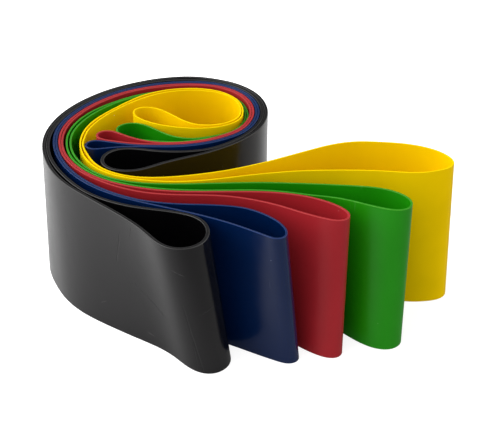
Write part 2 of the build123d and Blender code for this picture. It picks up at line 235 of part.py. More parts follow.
yellow_loop = [
    (72.12, -4.03, 0.11, -6.45), (70.56, -6.72, 0.32, -6.56), (67.81, -8.51, 0.33, -6.54),
    (64.47, -9.76, 0.21, -6.19), (60.66, -10.55, 0.13, -5.77), (56.52, -10.73, 0.10, -5.40),
    (52.20, -10.45, 0.12, -5.02), (47.76, -10.07, 0.14, -4.61), (43.27, -9.80, 0.15, -4.22),
    (38.76, -9.67, 0.15, -3.84), (34.24, -9.66, 0.15, -3.45), (29.73, -9.78, 0.14, -3.03),
    (25.22, -10.02, 0.13, -2.61), (20.73, -10.40, 0.12, -2.18), (16.26, -10.93, 0.10, -1.76),
    (11.83, -11.60, 0.08, -1.35), (7.43, -12.43, 0.05, -0.97), (3.07, -13.43, 0.01, -0.63),
    (-1.28, -14.57, -0.03, -0.34), (-5.64, -15.74, -0.05, -0.13), (-10.00, -16.85, -0.05, -0.04),
    (-14.36, -17.79, -0.04, -0.01), (-18.73, -18.46, 0.00, 0.00), (-23.10, -18.83, 0.00, 0.00),
    (-27.46, -18.87, 0.00, 0.00), (-31.79, -18.57, 0.00, 0.00), (-36.06, -17.91, 0.00, 0.00),
    (-40.20, -16.87, 0.00, 0.00), (-44.14, -15.44, 0.00, 0.00), (-47.76, -13.49, 0.00, 0.00),
    (-50.91, -10.94, 0.00, 0.00), (-53.55, -7.84, 0.00, 0.00), (-55.69, -4.34, 0.00, 0.00),
    (-57.33, -0.54, 0.00, 0.00), (-58.44, 3.48, 0.00, 0.00), (-59.01, 7.62, 0.00, 0.00),
    (-59.04, 11.81, 0.00, 0.00), (-58.53, 15.96, 0.00, 0.00), (-57.49, 20.02, 0.00, 0.00),
    (-55.89, 23.92, 0.00, 0.00), (-53.81, 27.64, 0.00, 0.00), (-51.34, 31.24, 0.00, 0.00),
    (-48.62, 34.75, 0.00, 0.00), (-45.79, 38.20, 0.00, 0.00), (-42.91, 41.51, 0.00, 0.00),
    (-39.89, 44.51, 0.00, 0.00), (-36.49, 46.94, 0.00, 0.00), (-32.81, 48.88, 0.00, 0.00),
    (-28.92, 50.34, 0.00, 0.00), (-24.87, 51.20, 0.00, 0.00), (-20.75, 51.49, 0.00, 0.00),
    (-16.68, 51.21, 0.00, 0.00), (-12.80, 50.27, 0.00, 0.00), (-9.28, 48.55, 0.00, 0.00),
    (-6.28, 46.12, 0.00, 0.00), (-3.94, 43.05, 0.00, 0.00), (-2.41, 39.48, 0.00, 0.00),
    (-1.60, 35.66, 0.00, 0.00), (-1.51, 31.81, 0.00, 0.00), (-2.20, 28.16, -0.04, 0.02),
    (-4.08, 25.07, 0.00, 0.00), (-6.93, 22.71, 0.00, 0.00), (-10.34, 20.98, 0.00, 0.00),
    (-14.15, 19.92, 0.00, 0.00), (-18.19, 19.54, 0.00, 0.00), (-22.33, 19.79, 0.00, 0.00),
    (-26.46, 20.54, 0.00, 0.00), (-30.49, 21.70, 0.00, 0.00), (-34.25, 23.31, 0.00, 0.00),
    (-37.51, 25.35, 0.00, 0.00), (-40.03, 27.76, -0.03, -0.02), (-41.47, 30.52, 0.00, 0.00),
    (-41.28, 33.35, 0.06, -0.03), (-39.24, 35.23, 0.00, 0.00), (-36.34, 35.56, 0.01, 0.04),
    (-33.27, 34.63, 0.00, 0.00), (-30.30, 32.61, 0.00, 0.00), (-27.45, 29.83, 0.00, 0.00),
    (-24.56, 26.88, 0.00, 0.00), (-21.48, 24.32, 0.00, 0.00), (-18.04, 22.66, 0.00, 0.00),
    (-14.38, 22.15, 0.00, 0.00), (-10.75, 22.68, 0.00, 0.00), (-7.44, 24.17, 0.00, 0.00),
    (-4.76, 26.56, 0.00, 0.00), (-2.90, 29.63, 0.00, 0.00), (-2.22, 33.19, 0.00, 0.00),
    (-2.56, 36.91, 0.00, 0.00), (-3.60, 40.58, 0.00, 0.00), (-5.41, 43.92, 0.00, 0.00),
    (-8.01, 46.63, 0.00, 0.00), (-11.34, 48.46, 0.00, 0.00), (-15.10, 49.55, 0.00, 0.00),
    (-19.09, 50.04, 0.00, 0.00), (-23.17, 49.88, 0.00, 0.00), (-27.21, 49.10, 0.00, 0.00),
    (-31.12, 47.73, 0.00, 0.00), (-34.84, 45.80, 0.00, 0.00), (-38.33, 43.40, 0.00, 0.00),
    (-41.61, 40.61, 0.00, 0.00), (-44.68, 37.52, 0.00, 0.00), (-47.56, 34.21, 0.00, 0.00),
    (-50.25, 30.74, 0.00, 0.00), (-52.67, 27.13, 0.00, 0.00), (-54.74, 23.37, 0.00, 0.00),
    (-56.37, 19.47, 0.00, 0.00), (-57.46, 15.44, 0.00, 0.00), (-57.91, 11.34, -0.04, 0.00),
    (-58.06, 7.27, -0.05, 0.00), (-57.28, 3.33, -0.07, -0.02), (-55.81, -0.51, -0.03, 0.00),
    (-54.16, -4.33, 0.00, 0.00), (-52.01, -7.81, 0.00, 0.00), (-49.31, -10.78, 0.00, 0.00),
    (-46.07, -13.12, 0.00, 0.00), (-42.41, -14.80, 0.00, 0.00), (-38.47, -15.86, 0.00, 0.00),
    (-34.33, -16.34, 0.00, 0.00), (-30.09, -16.30, 0.00, 0.00), (-25.79, -15.84, 0.00, 0.00),
    (-21.47, -15.05, 0.00, 0.00), (-17.15, -14.04, 0.00, 0.00), (-12.85, -12.83, -0.04, -0.02),
    (-8.60, -11.44, -0.06, -0.03), (-4.42, -9.87, -0.10, -0.06), (-0.31, -8.11, -0.12, -0.14),
    (3.73, -6.17, -0.11, -0.33), (7.72, -4.06, -0.07, -0.61), (11.68, -1.84, -0.02, -0.93),
    (15.63, 0.45, 0.03, -1.24), (19.58, 2.75, 0.07, -1.55), (23.52, 4.99, 0.12, -1.85),
    (27.43, 7.11, 0.17, -2.14), (31.32, 8.96, 0.23, -2.44), (35.27, 10.33, 0.29, -2.82),
    (39.36, 11.04, 0.33, -3.26), (43.59, 11.14, 0.32, -3.71), (47.91, 10.88, 0.31, -4.15),
    (52.26, 10.42, 0.30, -4.61), (56.52, 9.69, 0.27, -5.09), (60.58, 8.56, 0.21, -5.55),
    (64.32, 6.91, 0.12, -5.95), (67.59, 4.74, 0.01, -6.24), (70.18, 2.10, -0.05, -6.39),
    (71.86, -0.87, -0.04, -6.43),
]


def outline(loop, level, side):
    """Points of one face of a strip: level 1 is the upper edge, 0 the lower edge;
    side is the signed distance from the middle of the strip."""
    pts = [(x + (1 - level) * dx, y + (1 - level) * dy) for x, y, dx, dy in loop]
    return [(x + side * ty, y - side * tx) for (x, y), (tx, ty) in zip(pts, headings(pts))]


def headings(pts):
    """Unit direction of a closed line at each of its points."""
    n = len(pts)
    heads = []
    for i in range(n):
        (x0, y0), (x1, y1), (x2, y2) = pts[i - 1], pts[i], pts[(i + 1) % n]
        a, b = hypot(x2 - x1, y2 - y1), hypot(x1 - x0, y1 - y0)
        tx = (x2 - x1) / a * b + (x1 - x0) / b * a
        ty = (y2 - y1) / a * b + (y1 - y0) / b * a
        t = hypot(tx, ty)
        heads.append((tx / t, ty / t))
    return heads


def loop_area(loop):
    return sum(a[0] * b[1] - b[0] * a[1] for a, b in zip(loop, loop[1:] + loop[:1])) / 2


def edge_line(loop, level, side):
    """One smooth closed line, in spans of five points joined tangent to each other."""
    pts = outline(loop, level, side)
    heads = headings(pts)
    n = len(pts)
    cuts = list(range(0, n, span_points))
    if n - cuts[-1] < 3:
        cuts.pop()
    z = level * band_width
    return [Spline(*[(*pts[k % n], z) for k in range(c, d + 1)],
                   tangents=[(*heads[c], 0), (*heads[d % n], 0)])
            for c, d in zip(cuts, cuts[1:] + [n])]


def strip_walls(loop, thick):
    """The four sides of a closed strip: lower and upper cut edges, outside and inside."""
    outward = thick / 2 if loop_area(loop) > 0 else -thick / 2
    foot_out, rim_out = edge_line(loop, 0, outward), edge_line(loop, 1, outward)
    foot_in, rim_in = edge_line(loop, 0, -outward), edge_line(loop, 1, -outward)
    foot = Face(Wire(foot_out), [Wire(foot_in)])
    rim = Face(Wire(rim_out), [Wire(rim_in)])
    walls = [Face.make_surface_from_curves(a, b)
             for a, b in zip(foot_out + foot_in, rim_out + rim_in)]
    return Solid(Shell([foot, rim, *walls]))


# Black band: heaviest band, outermost in the coil; its free end is the shortest and leans to the right
with BuildPart() as band_black:
    add(strip_walls(black_loop, thick_black), clean=False)
band_black.part.label = "band_black"

# Blue band: second band; its free end reaches past the black one and leans to the right
with BuildPart() as band_blue:
    add(strip_walls(blue_loop, thick_blue), clean=False)
band_blue.part.label = "band_blue"

# Red band: third band; its free end stands with the foot brought forward
with BuildPart() as band_red:
    add(strip_walls(red_loop, thick_red), clean=False)
band_red.part.label = "band_red"

# Green band: fourth band; its free end stands with the foot brought forward
with BuildPart() as band_green:
    add(strip_walls(green_loop, thick_green), clean=False)
band_green.part.label = "band_green"

# Yellow band: lightest band, innermost in the coil, with the longest free end
with BuildPart() as band_yellow:
    add(strip_walls(yellow_loop, thick_yellow), clean=False)
band_yellow.part.label = "band_yellow"

os.makedirs("parts", exist_ok=True)
export_step(band_black.part, "parts/band_black.step")
export_step(band_blue.part, "parts/band_blue.step")
export_step(band_red.part, "parts/band_red.step")
export_step(band_green.part, "parts/band_green.step")
export_step(band_yellow.part, "parts/band_yellow.step")

for band in (band_black, band_blue, band_red, band_green, band_yellow):
    box = band.part.bounding_box()
    print(band.part.label, "volume %.0f" % band.part.volume,
          "X %.2f..%.2f Y %.2f..%.2f Z %.2f..%.2f" % (box.min.X, box.max.X, box.min.Y,
                                                      box.max.Y, box.min.Z, box.max.Z))
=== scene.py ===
import math

import bpy
import numpy as np
from mathutils import Matrix, Vector


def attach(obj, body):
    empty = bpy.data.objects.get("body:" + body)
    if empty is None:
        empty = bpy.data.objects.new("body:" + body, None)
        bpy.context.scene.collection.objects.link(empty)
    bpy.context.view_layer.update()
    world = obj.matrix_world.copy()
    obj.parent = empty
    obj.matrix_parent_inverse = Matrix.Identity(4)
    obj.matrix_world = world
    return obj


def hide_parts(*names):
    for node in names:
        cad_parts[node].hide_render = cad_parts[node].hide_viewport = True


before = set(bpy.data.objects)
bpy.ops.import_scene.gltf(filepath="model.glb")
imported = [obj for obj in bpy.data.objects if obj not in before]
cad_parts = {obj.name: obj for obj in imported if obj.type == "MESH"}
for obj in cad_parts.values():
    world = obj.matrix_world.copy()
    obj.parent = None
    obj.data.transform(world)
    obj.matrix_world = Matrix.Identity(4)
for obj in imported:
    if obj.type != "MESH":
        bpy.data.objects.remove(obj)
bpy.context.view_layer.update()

# A set of five flat rubber loop bands, standing on their lower cut edges in one
# loose coil. Each band here is a detailed strip that replaces its CAD node: the
# same loop, with rounded cut edges, a slightly hollow cut face and a little
# waviness. Metres, in the CAD frame.

MM = 0.001
WIDTH = 50.0  # height of a standing strip, mm

# Middle line of each strip, once round its closed loop from the free outer end:
# (x, y) of the upper cut edge, and how far the lower edge stands from plumb, mm.
LOOP_BLACK = (
    (-12.32, -50.70, 7.20, -1.04), (-12.68, -53.96, 7.15, -1.10), (-13.88, -56.92, 6.72, -0.94),
    (-15.94, -59.28, 6.21, -0.39), (-18.69, -60.74, 5.86, 0.79), (-21.84, -61.10, 6.04, 2.36),
    (-25.01, -60.11, 6.58, 3.52), (-27.77, -57.84, 6.92, 3.98), (-30.18, -54.79, 6.77, 3.96),
    (-32.54, -51.40, 6.16, 3.55), (-35.11, -47.98, 5.34, 2.88), (-37.94, -44.64, 4.50, 2.10),
    (-40.96, -41.39, 3.76, 1.37), (-44.13, -38.22, 3.14, 0.77), (-47.38, -35.09, 2.61, 0.29),
    (-50.65, -32.00, 2.15, -0.12), (-53.85, -28.90, 1.72, -0.47), (-56.92, -25.77, 1.38, -0.70),
    (-59.81, -22.56, 1.14, -0.78), (-62.47, -19.19, 1.00, -0.77), (-64.82, -15.62, 0.91, -0.69),
    (-66.82, -11.83, 0.84, -0.59), (-68.48, -7.86, 0.67, -0.52), (-69.81, -3.77, 0.39, -0.48),
    (-70.89, 0.39, 0.18, -0.40), (-71.62, 4.60, 0.08, -0.31), (-71.96, 8.85, 0.03, -0.22),
    (-71.88, 13.11, 0.00, -0.14), (-71.37, 17.36, -0.01, -0.09), (-70.47, 21.54, -0.01, -0.05),
    (-69.21, 25.64, 0.00, 0.00), (-67.55, 29.61, 0.00, 0.00), (-65.57, 33.44, 0.00, 0.00),
    (-63.31, 37.12, 0.00, 0.00), (-60.73, 40.59, 0.00, 0.00), (-57.89, 43.86, 0.00, 0.00),
    (-54.81, 46.92, 0.00, 0.00), (-51.51, 49.73, 0.00, 0.00), (-48.00, 52.28, 0.00, 0.00),
    (-44.31, 54.56, 0.00, 0.00), (-40.46, 56.55, 0.00, 0.00), (-36.49, 58.26, 0.00, 0.00),
    (-32.42, 59.63, 0.00, 0.00), (-28.27, 60.59, 0.00, 0.00), (-24.09, 61.10, 0.00, 0.00),
    (-19.91, 61.09, 0.00, 0.00), (-15.78, 60.54, 0.00, 0.00), (-11.77, 59.42, 0.00, 0.00),
    (-7.94, 57.83, 0.00, 0.00), (-4.35, 55.79, 0.00, 0.00), (-1.14, 53.24, 0.00, 0.00),
    (1.64, 50.26, 0.00, 0.00), (3.88, 46.87, 0.00, 0.00), (5.53, 43.14, 0.00, 0.00),
    (6.62, 39.18, 0.00, 0.00), (7.17, 35.10, 0.00, 0.00), (7.14, 30.97, 0.00, 0.00),
    (6.50, 26.89, 0.00, 0.00), (5.36, 22.91, 0.00, 0.00), (3.70, 19.11, 0.00, 0.00),
    (1.47, 15.59, 0.00, 0.00), (-1.15, 12.29, 0.00, 0.00), (-4.11, 9.24, 0.00, 0.00),
    (-7.40, 6.48, 0.00, 0.00), (-10.95, 3.98, 0.00, 0.00), (-14.63, 1.60, 0.00, 0.00),
    (-18.49, -0.54, 0.00, 0.00), (-22.46, -2.51, 0.00, 0.00), (-26.41, -4.51, 0.00, 0.00),
    (-30.15, -6.73, 0.00, 0.00), (-33.65, -9.05, 0.00, 0.00), (-37.16, -10.88, 0.00, 0.00),
    (-40.77, -11.68, 0.00, 0.00), (-44.26, -11.38, 0.00, 0.00), (-47.30, -9.98, 0.00, 0.00),
    (-49.39, -7.51, 0.00, 0.00), (-50.19, -4.40, 0.00, 0.00), (-49.70, -1.22, 0.00, 0.00),
    (-47.97, 1.53, 0.00, 0.00), (-45.18, 3.39, 0.00, 0.00), (-41.72, 4.08, 0.00, 0.00),
    (-37.91, 3.79, 0.00, 0.00), (-33.87, 3.02, 0.00, 0.00), (-29.67, 2.41, 0.00, 0.00),
    (-25.43, 2.22, 0.00, 0.00), (-21.24, 2.48, 0.00, 0.00), (-17.17, 3.25, 0.00, 0.00),
    (-13.30, 4.57, 0.00, 0.00), (-9.74, 6.58, 0.00, 0.00), (-6.45, 9.12, 0.00, 0.00),
    (-3.39, 12.00, 0.00, 0.00), (-0.67, 15.20, 0.00, 0.00), (1.65, 18.68, 0.00, 0.00),
    (3.51, 22.39, 0.00, 0.00), (4.85, 26.30, 0.00, 0.00), (5.62, 30.34, 0.00, 0.00),
    (5.74, 34.44, 0.00, 0.00), (5.26, 38.51, 0.00, 0.00), (4.22, 42.46, 0.00, 0.00),
    (2.59, 46.18, 0.00, 0.00), (0.35, 49.54, 0.00, 0.00), (-2.44, 52.46, 0.00, 0.00),
    (-5.67, 54.91, 0.00, 0.00), (-9.27, 56.82, 0.00, 0.00), (-13.15, 58.13, 0.00, 0.00),
    (-17.23, 58.90, 0.00, 0.00), (-21.41, 59.18, 0.00, 0.00), (-25.64, 58.99, 0.00, 0.00),
    (-29.85, 58.37, 0.00, 0.00), (-34.00, 57.35, 0.00, 0.00), (-38.05, 55.95, 0.00, 0.00),
    (-41.95, 54.17, 0.00, 0.00), (-45.69, 52.04, 0.00, 0.00), (-49.26, 49.61, 0.00, 0.00),
    (-52.64, 46.91, 0.00, 0.00), (-55.80, 43.94, 0.00, 0.00), (-58.72, 40.74, 0.00, 0.00),
    (-61.38, 37.34, 0.00, 0.00), (-63.73, 33.72, 0.00, 0.00), (-65.78, 29.93, 0.00, 0.00),
    (-67.52, 26.00, 0.00, 0.00), (-68.85, 21.93, 0.00, 0.00), (-69.82, 17.77, 0.00, 0.00),
    (-70.38, 13.54, 0.00, 0.00), (-70.51, 9.29, 0.00, 0.00), (-70.21, 5.05, 0.03, 0.01),
    (-69.50, 0.86, 0.07, 0.02), (-68.39, -3.26, 0.15, 0.04), (-66.86, -7.26, 0.16, 0.03),
    (-65.01, -11.14, 0.07, -0.03), (-62.88, -14.90, 0.05, -0.09), (-60.52, -18.51, 0.11, -0.14),
    (-57.93, -21.94, 0.24, -0.18), (-55.11, -25.13, 0.50, -0.19), (-51.99, -27.99, 0.84, -0.17),
    (-48.58, -30.49, 1.24, -0.17), (-44.89, -32.59, 1.71, -0.16), (-40.99, -34.32, 2.25, -0.16),
    (-36.91, -35.69, 2.82, -0.24), (-32.67, -36.71, 3.39, -0.49), (-28.36, -37.55, 3.94, -0.86),
    (-24.17, -38.50, 4.45, -1.21), (-20.30, -39.80, 4.90, -1.43), (-16.92, -41.64, 5.33, -1.48),
    (-14.37, -44.23, 5.92, -1.27), (-12.86, -47.37, 6.68, -1.04),
)
LOOP_BLUE = (
    (13.03, -51.24, 5.19, 1.06), (11.92, -53.71, 5.67, 0.88), (9.32, -54.28, 5.88, 0.25),
    (6.64, -52.95, 5.63, -0.38), (3.76, -51.00, 5.33, -0.72), (0.33, -48.81, 5.04, -0.88),
    (-3.38, -46.50, 4.72, -0.85), (-7.24, -44.30, 4.41, -0.64), (-11.20, -42.29, 4.04, -0.37),
    (-15.24, -40.44, 3.61, -0.14), (-19.35, -38.70, 3.12, -0.01), (-23.54, -37.06, 2.63, 0.07),
    (-27.78, -35.46, 2.15, 0.09), (-32.00, -33.84, 1.69, 0.05), (-36.15, -32.15, 1.27, -0.05),
    (-40.19, -30.37, 0.93, -0.12), (-44.05, -28.35, 0.65, -0.15), (-47.71, -26.05, 0.43, -0.16),
    (-51.16, -23.48, 0.27, -0.14), (-54.37, -20.64, 0.17, -0.10), (-57.30, -17.52, 0.10, -0.08),
    (-59.91, -14.13, 0.05, -0.05), (-62.21, -10.51, 0.03, -0.03), (-64.19, -6.69, 0.00, 0.00),
    (-65.84, -2.71, 0.00, 0.00), (-67.16, 1.37, 0.00, 0.00), (-68.10, 5.54, 0.00, 0.00),
    (-68.60, 9.76, 0.00, 0.00), (-68.67, 14.00, 0.00, 0.00), (-68.27, 18.19, 0.00, 0.00),
    (-67.34, 22.30, 0.00, 0.00), (-65.93, 26.30, 0.00, 0.00), (-64.12, 30.18, 0.00, 0.00),
    (-62.02, 33.94, 0.00, 0.00), (-59.58, 37.49, 0.00, 0.00), (-56.84, 40.83, 0.00, 0.00),
    (-53.85, 43.95, 0.00, 0.00), (-50.64, 46.82, 0.00, 0.00), (-47.18, 49.36, 0.00, 0.00),
    (-43.50, 51.56, 0.00, 0.00), (-39.64, 53.44, 0.00, 0.00), (-35.62, 54.98, 0.00, 0.00),
    (-31.49, 56.15, 0.00, 0.00), (-27.28, 56.96, 0.00, 0.00), (-23.03, 57.38, 0.00, 0.00),
    (-18.81, 57.39, 0.00, 0.00), (-14.69, 56.91, 0.00, 0.00), (-10.75, 55.83, 0.00, 0.00),
    (-7.08, 54.12, 0.00, 0.00), (-3.80, 51.81, 0.00, 0.00), (-0.96, 48.98, 0.00, 0.00),
    (1.31, 45.68, 0.00, 0.00), (2.94, 42.00, 0.00, 0.00), (3.96, 38.07, 0.00, 0.00),
    (4.40, 34.02, 0.00, 0.00), (4.20, 29.95, 0.00, 0.00), (3.34, 25.96, 0.00, 0.00),
    (1.93, 22.14, 0.00, 0.00), (-0.03, 18.61, 0.00, 0.00), (-2.67, 15.56, 0.00, 0.00),
    (-5.85, 12.97, 0.00, 0.00), (-9.37, 10.71, 0.00, 0.00), (-13.12, 8.79, 0.00, 0.00),
    (-17.09, 7.35, 0.00, 0.00), (-21.21, 6.32, 0.00, 0.00), (-25.46, 5.71, 0.00, 0.00),
    (-29.80, 5.47, 0.00, 0.00), (-34.20, 5.45, 0.00, 0.00), (-38.58, 5.54, 0.00, 0.00),
    (-42.86, 5.36, 0.00, 0.00), (-46.89, 4.72, 0.00, 0.00), (-50.46, 3.92, 0.02, -0.12),
    (-53.51, 3.37, 0.00, 0.00), (-56.00, 4.18, 0.04, 0.06), (-56.91, 6.41, 0.00, 0.00),
    (-55.86, 8.58, 0.00, 0.00), (-53.39, 9.44, 0.00, 0.00), (-50.37, 8.96, 0.00, 0.00),
    (-46.84, 8.04, 0.00, 0.00), (-42.79, 7.17, 0.00, 0.00), (-38.52, 6.56, 0.00, 0.00),
    (-34.18, 6.35, 0.00, 0.00), (-29.81, 6.37, 0.00, 0.00), (-25.47, 6.61, 0.00, 0.00),
    (-21.23, 7.23, 0.00, 0.00), (-17.12, 8.28, 0.00, 0.00), (-13.17, 9.76, 0.00, 0.00),
    (-9.44, 11.71, 0.00, 0.00), (-5.97, 14.00, 0.00, 0.00), (-2.85, 16.65, 0.00, 0.00),
    (-0.34, 19.79, 0.00, 0.00), (1.47, 23.38, 0.00, 0.00), (2.75, 27.22, 0.00, 0.00),
    (3.43, 31.23, 0.00, 0.00), (3.42, 35.29, 0.00, 0.00), (2.79, 39.30, 0.00, 0.00),
    (1.55, 43.13, 0.00, 0.00), (-0.34, 46.66, 0.00, 0.00), (-2.87, 49.74, 0.00, 0.00),
    (-5.93, 52.30, 0.00, 0.00), (-9.40, 54.30, 0.00, 0.00), (-13.21, 55.65, 0.00, 0.00),
    (-17.24, 56.37, 0.00, 0.00), (-21.41, 56.54, 0.00, 0.00), (-25.63, 56.23, 0.00, 0.00),
    (-29.86, 55.56, 0.00, 0.00), (-34.03, 54.54, 0.00, 0.00), (-38.08, 53.12, 0.00, 0.00),
    (-41.98, 51.34, 0.00, 0.00), (-45.71, 49.23, 0.00, 0.00), (-49.23, 46.79, 0.00, 0.00),
    (-52.49, 44.00, 0.00, 0.00), (-55.53, 40.94, 0.00, 0.00), (-58.32, 37.65, 0.00, 0.00),
    (-60.82, 34.14, 0.00, 0.00), (-62.98, 30.42, 0.00, 0.00), (-64.85, 26.56, 0.00, 0.00),
    (-66.31, 22.57, 0.00, 0.00), (-67.31, 18.48, 0.00, 0.00), (-67.76, 14.30, 0.00, 0.00),
    (-67.72, 10.08, 0.00, 0.00), (-67.25, 5.87, 0.00, 0.00), (-66.32, 1.71, 0.00, 0.00),
    (-65.01, -2.37, 0.00, 0.00), (-63.37, -6.34, 0.00, 0.00), (-61.38, -10.14, 0.00, 0.00),
    (-59.04, -13.73, 0.00, 0.00), (-56.38, -17.10, 0.00, 0.00), (-53.44, -20.21, 0.00, 0.00),
    (-50.24, -23.05, 0.06, 0.01), (-46.78, -25.60, 0.12, 0.05), (-43.12, -27.84, 0.20, 0.11),
    (-39.30, -29.79, 0.28, 0.17), (-35.34, -31.35, 0.35, 0.15), (-31.22, -32.46, 0.43, 0.04),
    (-26.98, -33.19, 0.56, 0.02), (-22.63, -33.65, 0.73, 0.03), (-18.20, -33.89, 0.94, 0.02),
    (-13.75, -34.01, 1.19, -0.05), (-9.36, -34.19, 1.47, -0.18), (-5.13, -34.65, 1.74, -0.34),
    (-1.12, -35.64, 2.02, -0.42), (2.58, -37.31, 2.36, -0.30), (5.91, -39.59, 2.81, -0.03),
    (8.83, -42.29, 3.34, 0.30), (11.16, -45.23, 3.91, 0.64), (12.61, -48.28, 4.58, 0.94),
)
